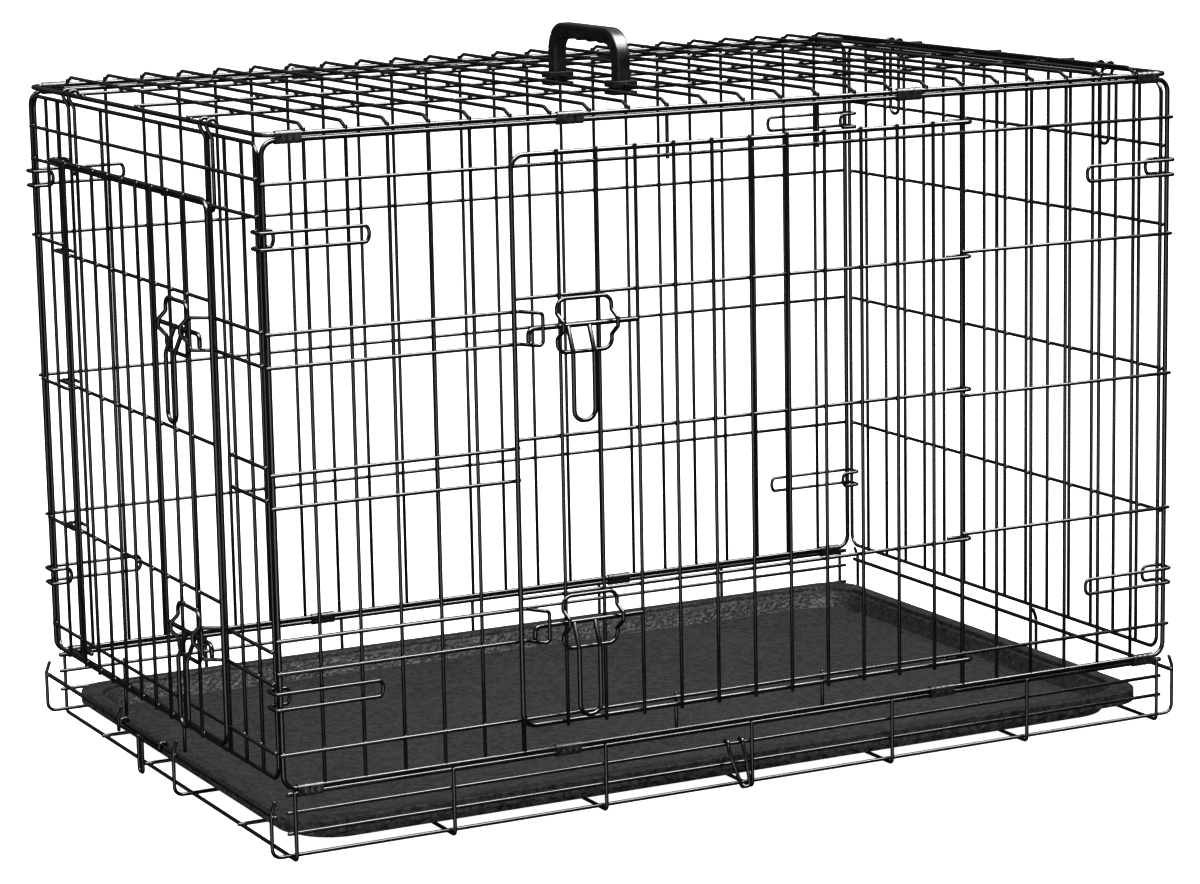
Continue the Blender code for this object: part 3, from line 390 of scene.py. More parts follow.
def fill(tree, node, inputs):
    """Set a node's sockets to plain values, or link them to other nodes' outputs."""
    for socket, value in inputs.items():
        if isinstance(value, bpy.types.NodeSocket):
            tree.links.new(value, node.inputs[socket])
        else:
            node.inputs[socket].default_value = value


def made(tree, kind, result, inputs):
    """Make a node with its inputs filled, and return one of its outputs."""
    node = tree.nodes.new(kind)
    fill(tree, node, inputs)
    return node.outputs[result]


def new_finish(name, colour, roughness, specular=0.5):
    """Start a material: its Principled shader, its node tree and the object's own coordinates."""
    material = bpy.data.materials.new(name)
    material.use_nodes = True
    tree = material.node_tree
    shader = tree.nodes["Principled BSDF"]
    fill(tree, shader, {
        "Base Color": (*colour, 1), "Roughness": roughness, "Specular IOR Level": specular})
    return material, shader, tree, made(tree, "ShaderNodeTexCoord", "Object", {})


def noise(tree, place, scale, detail, roughness=0.5):
    return made(tree, "ShaderNodeTexNoise", "Fac", {
        "Vector": place, "Scale": scale, "Detail": detail, "Roughness": roughness})


def mapped(tree, value, low, high, from_low=0.35, from_high=0.65):
    """Stretch a pattern's middle range to a new range."""
    return made(tree, "ShaderNodeMapRange", "Result", {
        "Value": value, "From Min": from_low, "From Max": from_high,
        "To Min": low, "To Max": high})


def added(tree, first, second):
    return made(tree, "ShaderNodeMath", "Value", {0: first, 1: second})


def mixed(tree, factor, dark, light):
    node = tree.nodes.new("ShaderNodeMix")
    node.data_type = "RGBA"
    fill(tree, node, {"Factor": factor, "A": (*dark, 1), "B": (*light, 1)})
    return node.outputs["Result"]


def bump(tree, height, distance, strength, below=None):
    inputs = {"Height": height, "Distance": distance, "Strength": strength}
    if below is not None:
        inputs["Normal"] = below
    return made(tree, "ShaderNodeBump", "Normal", inputs)


def coat(name, colour, roughness, specular, pattern, tones, gloss, swell, skin=None):
    """Make a black coat: one pattern drives its tone, gloss and swell, and a finer one its skin.

    The pattern is a scale and a detail, the gloss a range of roughness, the swell the depth and
    strength of a bump, and the skin all four for a finer bump.
    """
    material, shader, tree, place = new_finish(name, colour, roughness, specular)
    soft = noise(tree, place, *pattern)
    normal = bump(tree, soft, *swell)
    if skin is not None:
        scale, detail, depth, strength = skin
        normal = bump(tree, noise(tree, place, scale, detail), depth, strength, normal)
    fill(tree, shader, {
        "Base Color": mixed(tree, mapped(tree, soft, 0, 1), *tones),
        "Roughness": mapped(tree, soft, *gloss),
        "Normal": normal,
    })
    return material


def pan_coat():
    """Make the pebbled moulding, with a leather-like grain, pale speckle and faint scuffs."""
    material, shader, tree, place = new_finish("pan_finish", (0.018, 0.018, 0.019), 0.58, 0.15)
    pebbles = tree.nodes.new("ShaderNodeTexVoronoi")
    pebbles.feature = "SMOOTH_F1"
    fill(tree, pebbles, {"Vector": place, "Scale": PAN_PEBBLES_SCALE})
    scuffs = mapped(tree, noise(tree, place, *PAN_SCUFFS), 0, 0.25)
    speckle = mapped(tree, noise(tree, place, *PAN_SPECKLE), 0, 0.8, 0.42, 0.58)
    tone = added(tree, scuffs, speckle)
    coarse = bump(tree, pebbles.outputs["Distance"], 0.0011, 0.85)
    fill(tree, shader, {
        "Base Color": mixed(tree, tone, (0.002, 0.002, 0.0022), (0.056, 0.056, 0.057)),
        "Roughness": mapped(tree, tone, 0.72, 0.48, 0, 1),
        "Normal": bump(tree, noise(tree, place, *PAN_GRAIN), 0.0002, 0.35, coarse),
    })
    return material


def floor_finish():
    """Make the pale floor, which glows enough to hide its shadows."""
    material, shader, tree, place = new_finish("floor_finish", (0.9, 0.9, 0.9), 0.7)
    cloud = mapped(tree, noise(tree, place, *FLOOR_CLOUD), 0, 1)
    fill(tree, shader, {
        "Base Color": mixed(tree, cloud, (0.9, 0.9, 0.9), (0.93, 0.93, 0.93)),
        "Emission Color": (1, 1, 1, 1),
        "Emission Strength": FLOOR_GLOW,
    })
    return material


FINISHES = {
    # Dipped coating on wire: glossy, with soft runs and a fine orange-peel skin.
    "wire": coat(
        "coated_wire_finish", (0.003, 0.003, 0.0033), 0.22, 0.45, pattern=(26, 3),
        tones=((0.002, 0.002, 0.0023), (0.0045, 0.0045, 0.005)),
        gloss=(0.17, 0.30), swell=(0.0006, 0.25), skin=(900, 2, 0.00008, 0.3)),
    # Coated sheet steel, a little duller where the press has rubbed it.
    "sheet": coat(
        "crimped_sheet_finish", (0.009, 0.009, 0.010), 0.34, 0.4, pattern=(240, 4),
        tones=((0.006, 0.006, 0.0065), (0.017, 0.017, 0.018)),
        gloss=(0.28, 0.42), swell=(0.0002, 0.4)),
    "pan": pan_coat(),
    # Semi-gloss moulding of the carry handle.
    "grip": coat(
        "grip_finish", (0.006, 0.006, 0.0065), 0.34, 0.4, pattern=(60, 4),
        tones=((0.004, 0.004, 0.0043), (0.009, 0.009, 0.0095)),
        gloss=(0.28, 0.4), swell=(0.0008, 0.15), skin=(1300, 2, 0.0001, 0.4)),
}


# Shapes shared by the pieces.


def bent(points, radius, closed=False, steps=BEND_STEPS):
    """Round off each corner of a path to the bend radius, or to its own radius from a list."""
    points = [Vector(point) for point in points]
    count = len(points)
    radii = radius if isinstance(radius, list) else [radius] * count
    path = []
    for i, point in enumerate(points):
        if not closed and i in (0, count - 1):
            path.append(point)
            continue
        into = (point - points[i - 1]).normalized()
        away = (points[(i + 1) % count] - point).normalized()
        turn = into.angle(away)
        if turn < STRAIGHT_TURN:
            path.append(point)
            continue
        start = point - into * radii[i] * math.tan(turn / 2)
        inward = (away - into * into.dot(away)).normalized()
        centre = start + inward * radii[i]
        for k in range(steps + 1):
            angle = turn * k / steps
            path.append(centre + radii[i] * (into * math.sin(angle) - inward * math.cos(angle)))
    return path


def arc(centre, right, up, radius, start, turn, steps):
    """Give points round part of a circle in the plane of right and up."""
    points = []
    for k in range(steps + 1):
        angle = start + turn * k / steps
        points.append(centre + radius * (right * math.cos(angle) + up * math.sin(angle)))
    return points


def mitre(verts, point, run, normal):
    """Slide a ring along its run until it lies in the plane through point."""
    for vert in verts:
        vert.co += run * ((point - vert.co).dot(normal) / run.dot(normal))


def drawn_on(bm, edges):
    """Extrude a ring of edges, and return the new ring and its points."""
    extruded = bmesh.ops.extrude_edge_only(bm, edges=edges)["geom"]
    verts = [item for item in extruded if isinstance(item, bmesh.types.BMVert)]
    fresh = set(verts)
    ring = [
        item for item in extruded
        if isinstance(item, bmesh.types.BMEdge) and all(vert in fresh for vert in item.verts)
    ]
    return ring, verts


def loft(bm, outlines):
    """Draw a closed outline on through more outlines of as many points, and close both ends."""
    verts = [bm.verts.new(point) for point in outlines[0]]
    edges = first = [bm.edges.new((verts[i - 1], verts[i])) for i in range(len(verts))]
    for outline in outlines[1:]:
        places = {vert: i for i, vert in enumerate(verts)}
        edges, fresh = drawn_on(bm, edges)
        for vert in fresh:
            joined = (edge.other_vert(vert) for edge in vert.link_edges)
            place = next(places[other] for other in joined if other in places)
            verts[place] = vert
            vert.co = outline[place]
    for ring in (first, edges):
        bmesh.ops.holes_fill(bm, edges=ring, sides=len(ring))


def round_off(bm, edges, centre, run, radius):
    """Close a wire's end with a small dome, as the coating rounds a cut end."""
    reach = radius * END_ROUND
    for share, shrink in END_RINGS:
        edges, verts = drawn_on(bm, edges)
        for vert in verts:
            flat = vert.co - centre
            flat -= run * flat.dot(run)
            vert.co = centre + flat.normalized() * radius * shrink + run * reach * share
    bmesh.ops.holes_fill(bm, edges=edges, sides=len(edges))


def wire(bm, path, radius, facing, closed=False):
    """Draw a round wire along a path, mitred at each step of its bends, with domed ends."""
    points = [Vector(point) for point in path]
    count = len(points)
    runs = [(points[(i + 1) % count] - point).normalized() for i, point in enumerate(points)]
    if not closed:
        points[0] += runs[0] * radius * END_ROUND
        points[-1] -= runs[-2] * radius * END_ROUND
    across = runs[0].cross(facing).normalized()
    toward = across.cross(runs[0])
    turn = Matrix((across, runs[0], toward)).transposed().to_4x4()
    place = Matrix.Translation(points[0]) @ turn @ Matrix.Rotation(math.pi / 2, 4, "X")
    first = bmesh.ops.create_circle(bm, segments=WIRE_SIDES, radius=radius, matrix=place)["verts"]
    if closed:
        mitre(first, points[0], runs[0], runs[-1] + runs[0])
    edges = first_edges = list({edge for vert in first for edge in vert.link_edges})
    for i in range(1, count):
        edges, verts = drawn_on(bm, edges)
        last = i == count - 1 and not closed
        mitre(verts, points[i], runs[i - 1], runs[i - 1] if last else runs[i - 1] + runs[i])
    if closed:
        bmesh.ops.bridge_loops(bm, edges=first_edges + edges)
    else:
        round_off(bm, first_edges, points[0], -runs[0], radius)
        round_off(bm, edges, points[-1], runs[-2], radius)


def straight(bm, start, end, radius, facing):
    wire(bm, (start, end), radius, facing)


def uprights(bm, side, places_u, w, low, high, radius=WIRE_R):
    for u in places_u:
        straight(bm, on_side(side, u, w, low), on_side(side, u, w, high), radius, SIDES[side][1])


def bars(bm, side, heights, w, start, end):
    for z in heights:
        straight(bm, on_side(side, start, w, z), on_side(side, end, w, z), WIRE_R, SIDES[side][1])


def weld(bm, point, out):
    """Add the flattened bead where two wires are spot-welded across each other."""
    bead = bmesh.ops.create_icosphere(bm, subdivisions=2, radius=WELD_WIDTH)["verts"]
    squash = Matrix.Scale(WELD_DEPTH / WELD_WIDTH, 3, out)
    bmesh.ops.transform(bm, matrix=Matrix.Translation(point) @ squash.to_4x4(), verts=bead)


def weld_grid(bm, side, places_u, w, heights):
    for u in places_u:
        for z in heights:
            weld(bm, on_side(side, u, w, z), SIDES[side][1])


def panel_border(bm, side, half, w, low, high, radius=BORDER_R):
    corners = [on_side(side, u * half, w, low if z < 0 else high) for u, z in CORNERS]
    wire(bm, bent(corners, CORNER_BEND, closed=True), radius, SIDES[side][1], closed=True)


def finished(name, bm, slot, body, *nodes):
    """Make a piece from its shape, with its finish, its body and the solids it stands for."""
    bmesh.ops.recalc_face_normals(bm, faces=bm.faces[:])
    mesh = bpy.data.meshes.new(name)
    bm.to_mesh(mesh)
    bm.free()
    mesh.shade_smooth()
    mesh.set_sharp_from_angle(angle=SHARP_ANGLE)
    mesh.materials.append(FINISHES[slot])
    piece = bpy.data.objects.new(name, mesh)
    bpy.context.collection.objects.link(piece)
    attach(piece, body)
    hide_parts(*nodes)


# Fixed panels of the cage.


def hairpin(bm, side, post, end, middle, w, ramp_to=None):
    """Add a two-armed stop or keeper, with its closed end drawn outwards where it takes a bolt."""
    heights = (middle + HAIRPIN_HALF, middle - HAIRPIN_HALF)
    arms = []
    for z in heights:
        arm = [on_side(side, post, w, z)]
        if ramp_to is not None:
            away = math.copysign(1, end - post)
            foot = end - away * (KEEPER_LEAD + KEEPER_RAMP)
            arm.append(on_side(side, foot, w, z))
            arm.append(on_side(side, end - away * KEEPER_LEAD, ramp_to, z))
        arms.append(arm)
    closed_w = w if ramp_to is None else ramp_to
    tip = [on_side(side, end, closed_w, z) for z in heights]
    bend = STOP_BEND if ramp_to is None else KEEPER_BEND
    path = arms[0] + bent([arms[0][-1], *tip, arms[1][-1]], bend)[1:-1] + arms[1][::-1]
    if ramp_to is not None:
        outwards = bent(path[:3], RAMP_BEND, steps=SLIGHT_BEND_STEPS)
        inwards = bent(path[-3:], RAMP_BEND, steps=SLIGHT_BEND_STEPS)
        path = outwards + path[3:-3] + inwards
    wire(bm, path, WIRE_R, SIDES[side][1])


def arm_heights(*middles):
    """Give the heights of both arms of each hairpin."""
    return [z + step for z in middles for step in (-HAIRPIN_HALF, HAIRPIN_HALF)]


def front_panel():
    bm = bmesh.new()
    side, w = "front", HALF_DEPTH
    panel_border(bm, side, HALF_LENGTH, w, PANEL_BOTTOM, PANEL_TOP)
    bars_w = w + CROSS_STEP
    post = HALF_LENGTH + OVERHANG
    high_bar, low_bar = FRONT_BARS_Z
    left_rods = [rod_u(i) for i in range(1, FRONT_JAMBS[0])]
    right_rods = [rod_u(i) for i in range(FRONT_JAMBS[1] + 1, LONG_CELLS)]
    jambs = [rod_u(i) for i in FRONT_JAMBS]
    stubs = [rod_u(i) for i in FRONT_STUBS]
    uprights(bm, side, left_rods + right_rods, w, PANEL_BOTTOM, PANEL_TOP)
    uprights(bm, side, jambs, w, PANEL_BOTTOM, PANEL_TOP, JAMB_R)
    uprights(bm, side, stubs, w, high_bar - OVERHANG, PANEL_TOP)
    uprights(bm, side, stubs, w, PANEL_BOTTOM, low_bar + OVERHANG)
    bars(bm, side, FRONT_BARS_Z, bars_w, -post, post)
    bars(bm, side, FRONT_RIGHT_BARS_Z, bars_w, jambs[1] - OVERHANG / 2, post)
    for z in FRONT_BOLTS_Z:
        hairpin(bm, side, -post, FRONT_KEEPER_END, z, bars_w, w + KEEPER_STEP)
    hairpin(bm, side, -post, FRONT_STOP_END, FRONT_STOP_Z, bars_w)
    weld_w = w + CROSS_STEP / 2
    posts = [-HALF_LENGTH, HALF_LENGTH]
    weld_grid(bm, side, posts + left_rods + jambs + stubs + right_rods, weld_w, FRONT_BARS_Z)
    weld_grid(bm, side, [jambs[1], HALF_LENGTH, *right_rods], weld_w, FRONT_RIGHT_BARS_Z)
    arms_z = arm_heights(*FRONT_BOLTS_Z, FRONT_STOP_Z)
    weld_grid(bm, side, [-HALF_LENGTH, *left_rods, jambs[0]], weld_w, arms_z)
    finished("front_panel_wires", bm, "wire", "cage", "front_panel")


def plain_panel(side, half, w, low, high, rods, bars_z, radius=BORDER_R):
    """Start a panel without an opening: its border, its uprights and its bars."""
    bm = bmesh.new()
    panel_border(bm, side, half, w, low, high, radius)
    uprights(bm, side, rods, w, low, high)
    post = half + OVERHANG
    bars(bm, side, bars_z, w + CROSS_STEP, -post, post)
    weld_grid(bm, side, [-half, *rods, half], w + CROSS_STEP / 2, bars_z)
    return bm


def back_panel():
    rods = [rod_u(i) for i in range(1, LONG_CELLS)]
    bm = plain_panel("back", HALF_LENGTH, HALF_DEPTH, PANEL_BOTTOM, PANEL_TOP, rods, BACK_BARS_Z)
    finished("back_panel_wires", bm, "wire", "cage", "back_panel")


def top_panel():
    """Make the top: runners cross over its border, and bent wires cross over the runners."""
    bm = bmesh.new()
    corners = [(x * HALF_LENGTH, y * HALF_DEPTH, TOP_HEIGHT) for x, y in CORNERS]
    wire(bm, bent(corners, CORNER_BEND, closed=True), BORDER_R, UP, closed=True)
    end = HALF_LENGTH + OVERHANG
    for y in RUNNERS_Y:
        straight(bm, (-end, y, runner_z()), (end, y, runner_z()), WIRE_R, UP)
        for x in (-HALF_LENGTH, HALF_LENGTH):
            weld(bm, Vector((x, y, (TOP_HEIGHT + runner_z()) / 2)), UP)
    knee = HALF_DEPTH - RIB_FOOT / 2
    half_rib = ((HALF_DEPTH + RIB_FOOT / 2, runner_z()), (knee, runner_z()),
                (knee - RIB_SLOPE, rib_z()))
    for x in (rod_u(i) for i in range(1, LONG_CELLS)):
        corners = [(x, -y, z) for y, z in half_rib] + [(x, y, z) for y, z in half_rib[::-1]]
        wire(bm, bent(corners, SMALL_BEND, steps=SLIGHT_BEND_STEPS), WIRE_R, UP)
        for y in (-HALF_DEPTH, HALF_DEPTH):
            weld(bm, Vector((x, y, (TOP_HEIGHT + runner_z()) / 2)), UP)
        for y in RUNNERS_Y:
            weld(bm, Vector((x, y, (runner_z() + rib_z()) / 2)), UP)
    finished("top_panel_wires", bm, "wire", "cage", "top_panel")


# End panels and doors.


def hanger(bm, side, u, w):
    """Add a long U among the uprights, whose two arms curl over the top panel's end wire."""
    out = SIDES[side][1]
    arms, foot = [], []
    for arm_u in (u + HANGER_HALF, u - HANGER_HALF):
        centre = on_side(side, arm_u, HALF_LENGTH, TOP_HEIGHT)
        curl = arc(centre, out, UP, HANGER_CURL_R,
                   HANGER_CURL_FROM, HANGER_CURL_TURN, HANGER_ARC_STEPS)
        arms.append(curl[::-1] + [on_side(side, arm_u, w, END_TOP - OVERHANG)])
        foot.append(on_side(side, arm_u, w, HANGER_BOTTOM))
    corners = [arms[0][-1], *foot, arms[1][-1]]
    loop = bent(corners, HANGER_FOOT_BEND, steps=HANGER_FOOT_STEPS)
    wire(bm, arms[0] + loop[1:-1] + arms[1][::-1], WIRE_R, out)


def right_end():
    side, w = "right", HALF_LENGTH
    rods = [end_u(i) for i in range(1, END_CELLS)]
    bm = plain_panel(side, END_HALF, w, RIGHT_BOTTOM, END_TOP, rods, RIGHT_BARS_Z, END_BORDER_R)
    for u in HANGERS_U[side]:
        hanger(bm, side, u, w)
    finished("right_end_wires", bm, "wire", "right_end", "right_end_panel")


def left_end():
    bm = bmesh.new()
    side, w = "left", HALF_LENGTH
    panel_border(bm, side, END_HALF, w, END_BOTTOM, END_TOP, END_BORDER_R)
    bars_w, weld_w = w + CROSS_STEP, w + CROSS_STEP / 2
    back_rod = end_u(1)
    front_rods = [end_u(i) for i in range(END_LATCH_JAMB + 1, END_CELLS)]
    latch_jamb = end_u(END_LATCH_JAMB)
    stubs = [end_u(i) for i in END_STUBS]
    uprights(bm, side, (back_rod, *front_rods), w, END_BOTTOM, END_TOP)
    uprights(bm, side, (END_JAMB_U, latch_jamb), w, END_BOTTOM, END_TOP, JAMB_R)
    uprights(bm, side, stubs, w, END_BARS_Z[1] - OVERHANG, END_TOP)
    uprights(bm, side, stubs, w, TONGUE_BOTTOM, END_BARS_Z[2] + OVERHANG)
    post = END_HALF + OVERHANG
    bars(bm, side, END_BARS_Z, bars_w, -post, post)
    bars(bm, side, END_BACK_BARS_Z, bars_w, END_JAMB_U - OVERHANG / 2, post)
    for z in LEFT_BOLTS_Z:
        hairpin(bm, side, -post, LEFT_KEEPER_END, z, bars_w, w + KEEPER_STEP)
    hairpin(bm, side, -post, LEFT_STOP_END, LEFT_STOP_Z, bars_w)
    for u in HANGERS_U[side]:
        hanger(bm, side, u, w)
    crossed = [-END_HALF, *front_rods, latch_jamb, *stubs, END_JAMB_U, back_rod, END_HALF]
    weld_grid(bm, side, crossed, weld_w, END_BARS_Z)
    weld_grid(bm, side, [END_JAMB_U, back_rod, END_HALF], weld_w, END_BACK_BARS_Z)
    arms_z = arm_heights(*LEFT_BOLTS_Z, LEFT_STOP_Z)
    weld_grid(bm, side, [-END_HALF, *front_rods, latch_jamb], weld_w, arms_z)
    finished("left_end_wires", bm, "wire", "left_end", "left_end_panel")


def jamb_curl(side, jamb, away, w, door_w, radius, z):
    """Give the points of a flattened hook round a jamb, from its inner tail to the door's layer."""
    inner_w = w - JAMB_R - CURL_CLEARANCE - radius
    middle = (inner_w + door_w) / 2
    reach = (door_w - inner_w) / 2
    points = [on_side(side, jamb - away * CURL_TAIL, inner_w, z)]
    for k in range(CURL_ARC_STEPS + 1):
        angle = math.pi * k / CURL_ARC_STEPS
        u = jamb + away * reach * math.sin(angle)
        points.append(on_side(side, u, middle - reach * math.cos(angle), z))
    return points


def door(name, side, w, jamb, latch, heights, bars_z, rods_u, body):
    """Make a door: its frame and bars curl round the jamb, and its rods cross outside them."""
    bm = bmesh.new()
    away = math.copysign(1, jamb - latch)
    low, high = heights
    door_w = w + DOOR_STEP
    top = jamb_curl(side, jamb, away, w, door_w, BORDER_R, high)
    bottom = jamb_curl(side, jamb, away, w, door_w, BORDER_R, low)
    corners = [on_side(side, latch, door_w, z) for z in (high, low)]
    frame_path = bent([top[-1], *corners, bottom[-1]], CORNER_BEND)
    wire(bm, top[:-1] + frame_path + bottom[:-1][::-1], BORDER_R, SIDES[side][1])
    for z in bars_z:
        path = jamb_curl(side, jamb, away, w, door_w, WIRE_R, z) + [on_side(side, latch, door_w, z)]
        wire(bm, path, WIRE_R, SIDES[side][1])
    uprights(bm, side, rods_u, w + DOOR_RODS_STEP, low - OVERHANG, high + OVERHANG)
    weld_grid(bm, side, rods_u, w + DOOR_STEP + CROSS_STEP / 2, [low, *bars_z, high])
    finished(f"{name}_wires", bm, "wire", body, name)


def guide(name, side, w, tip, z, body):
    """Make the wire loop on a door that the bolt runs through."""
    bm = bmesh.new()
    start, end = tip + GUIDE_START, tip + GUIDE_START + GUIDE_LENGTH
    flat_w, bump_w = w + GUIDE_STEP, w + GUIDE_BUMP_STEP
    corners = []
    for near, far, way in ((start, end, -1), (end, start, 1)):
        corners += [on_side(side, u, flat_w, z + way * rise) for u, rise in (
            (near, GUIDE_BUMP_FOOT), (near, GUIDE_HALF), (far, GUIDE_HALF), (far, GUIDE_BUMP_FOOT))]
        corners += [on_side(side, far + GUIDE_BUMP_SHIFT, bump_w, z + way * rise)
                    for rise in (GUIDE_BUMP_HALF, -GUIDE_BUMP_HALF)]
    radii = [GUIDE_BEND, GUIDE_CORNER, GUIDE_CORNER, GUIDE_BEND, GUIDE_BEND, GUIDE_BEND] * 2
    path = bent(corners, radii, closed=True, steps=GUIDE_BEND_STEPS)
    wire(bm, path, GUIDE_WIRE_R, SIDES[side][1], closed=True)
    for u in (start + GUIDE_WELD_INSET, end - GUIDE_WELD_INSET):
        for step in (-GUIDE_HALF, GUIDE_HALF):
            weld(bm, on_side(side, u, flat_w - WIRE_R, z + step), SIDES[side][1])
    finished(f"{name}_loop", bm, "wire", body, name)


def bolt(name, side, w, tip, z, body):
    """Make a bolt: a rod with a bent tip, and a drop handle welded under it."""
    bm = bmesh.new()
    rod_w = w + BOLT_STEP
    handle_w = w + HANDLE_STEP + WIRE_R * FLAT - BOLT_HANDLE_R
    path = bent([
        on_side(side, tip, rod_w, z - BOLT_TIP_DROP),
        on_side(side, tip, rod_w, z),
        on_side(side, tip + BOLT_LENGTH, rod_w, z),
    ], SMALL_BEND)
    wire(bm, path, ROD_R, SIDES[side][1])
    left, right = tip + HANDLE_START, tip + HANDLE_START + HANDLE_WIDTH
    leg = ((rod_w, z), (handle_w, z - HANDLE_SLANT), (handle_w, z - HANDLE_DROP))
    corners = [on_side(side, left, *place) for place in leg]
    corners += [on_side(side, right, *place) for place in leg[::-1]]
    path = bent(corners, BOLT_HANDLE_BEND, steps=BOLT_HANDLE_STEPS)
    wire(bm, path, BOLT_HANDLE_R, SIDES[side][0])
    for u in (left, right):
        weld(bm, on_side(side, u, rod_w, z), SIDES[side][1])
    finished(f"{name}_rod", bm, "wire", body, name)


def latches(prefix, side, w, tip, heights):
    for level_name, z in zip(("upper", "lower"), heights):
        guide(f"{prefix}_guide_{level_name}", side, w, tip, z, f"{prefix}_door")
        bolt(f"{prefix}_bolt_{level_name}", side, w, tip, z, f"{prefix}_bolt_{level_name}")


# Snap loops and sleeves.


def snap_loop(name, x_sign, y_sign, z):
    """Make a closed loop along a long panel, wrapped round the corner posts."""
    bm = bmesh.new()
    outer_y = HALF_DEPTH + BORDER_R + CLEARANCE + WIRE_R
    inner_y = END_HALF - BORDER_R - CLEARANCE - WIRE_R - WELD_BITE
    plan = [
        (SNAP_END, outer_y),
        (SNAP_OUT_X, outer_y),
        (SNAP_OUT_X, inner_y),
        (SNAP_RETURN, inner_y),
    ]
    upper, lower = (
        bent([(x_sign * x, y_sign * y, z + rise) for x, y in plan], SNAP_BEND)
        for rise in (SNAP_HALF, -SNAP_HALF)
    )
    end_in, end_out = [], []
    for k in range(1, SNAP_NOSE_STEPS):
        angle = math.pi * k / SNAP_NOSE_STEPS
        x, rise = SNAP_NOSE * math.sin(angle), SNAP_HALF * math.cos(angle)
        end_in.append((x_sign * (SNAP_RETURN - x), y_sign * inner_y, z + rise))
        end_out.append((x_sign * (SNAP_END - x), y_sign * outer_y, z - rise))
    wire(bm, upper + end_in + lower[::-1] + end_out, WIRE_R, UP, closed=True)
    finished(f"{name}_loop", bm, "wire", "cage", name)


def sleeve_outline(grow, low, high, waist):
    """Give a sleeve's section from its seam all round, pinched between the two wires."""
    reach = BORDER_R + SLEEVE_SLACK + grow
    middle = (low + high) / 2
    seam_y = reach - waist * SLEEVE_SEAM_SHARE

    def half_round(centre, start):
        for k in range(SLEEVE_ARC_STEPS + 1):
            angle = start + math.pi * k / SLEEVE_ARC_STEPS
            yield reach * math.cos(angle), centre + reach * SLEEVE_FLATNESS * math.sin(angle)

    return [
        (seam_y, middle + SLEEVE_SEAM),
        *half_round(high, 0),
        (-reach + waist, middle),
        *half_round(low, math.pi),
        (seam_y, middle - SLEEVE_SEAM),
    ]


def sleeve(name, x, half, y_sign, heights):
    """Make a crimped sleeve: sheet rolled round two border wires, pinched in three bands."""
    bm = bmesh.new()
    mirrored = [(-station, pinch) for station, pinch in SLEEVE_PINCHES[:0:-1]]
    outlines = []
    for station, pinch in [*mirrored, *SLEEVE_PINCHES]:
        notch = SLEEVE_NOTCH * max(0, pinch - SLEEVE_PINCH) / (1 - SLEEVE_PINCH)
        inner = sleeve_outline(0, *heights, SLEEVE_WAIST * pinch)
        outer = sleeve_outline(SLEEVE_WALL * (1 - notch), *heights, SLEEVE_WAIST * pinch)
        outlines.append([
            Vector((x + half * station, y_sign * (HALF_DEPTH - y), z))
            for y, z in inner + outer[::-1]
        ])
    loft(bm, outlines)
    caps = [face for face in bm.faces if len(face.verts) > 4]
    bmesh.ops.triangulate(bm, faces=caps)
    finished(f"{name}_strip", bm, "sheet", "cage", name)


def sleeves():
    middle = (-MIDDLE_SLEEVE_X, MIDDLE_SLEEVE_X)
    left_past, right_past = FRONT_LOW_SLEEVES_PAST
    front_low = (-BASE_CELL - left_past, BASE_CELL + right_past)
    rows = [
        ("top_front", -1, middle, (PANEL_TOP, TOP_HEIGHT)),
        ("top_back", 1, middle, (PANEL_TOP, TOP_HEIGHT)),
        ("low_front", -1, front_low, (LIP_TOP, PANEL_BOTTOM)),
        ("low_back", 1, middle, (LIP_TOP, PANEL_BOTTOM)),
    ]
    for row, y_sign, middle_x, heights in rows:
        places = [(-CORNER_SLEEVE_X, CORNER_SLEEVE_HALF)]
        places += [(x, SLEEVE_HALF) for x in middle_x]
        places += [(CORNER_SLEEVE_X, CORNER_SLEEVE_HALF)]
        for number, (x, half) in enumerate(places, 1):
            sleeve(f"sleeve_{row}_{number}", x, half, y_sign, heights)


# Base frame and what hangs on it.


def leg_x():
    return END_BAR_X + END_BAR_R + WIRE_R - WELD_BITE - BOX_MARGIN


def tip_path(x_sign, y):
    """Give the end of a leg: up past its bar and bent in over it."""
    bar_z = LEFT_BAR_Z if x_sign < 0 else RIGHT_BAR_Z
    x = leg_x()
    return bent([
        (x_sign * x, y, bar_z - TIP_TAIL),
        (x_sign * x, y, bar_z + TIP_KNEE),
        (x_sign * (x - TIP_LEAN), y, bar_z + TIP_RISE),
    ], LIP_BEND, steps=TIP_BEND_STEPS)


def leg_path(y, z):
    """Give a floor wire whose two ends turn up into legs."""
    left, right = tip_path(-1, y)[1:], tip_path(1, y)[1:]
    turned = bent([left[0], (-leg_x(), y, z), (leg_x(), y, z), right[0]], LEG_BEND)
    return left[1:][::-1] + turned + right[1:]


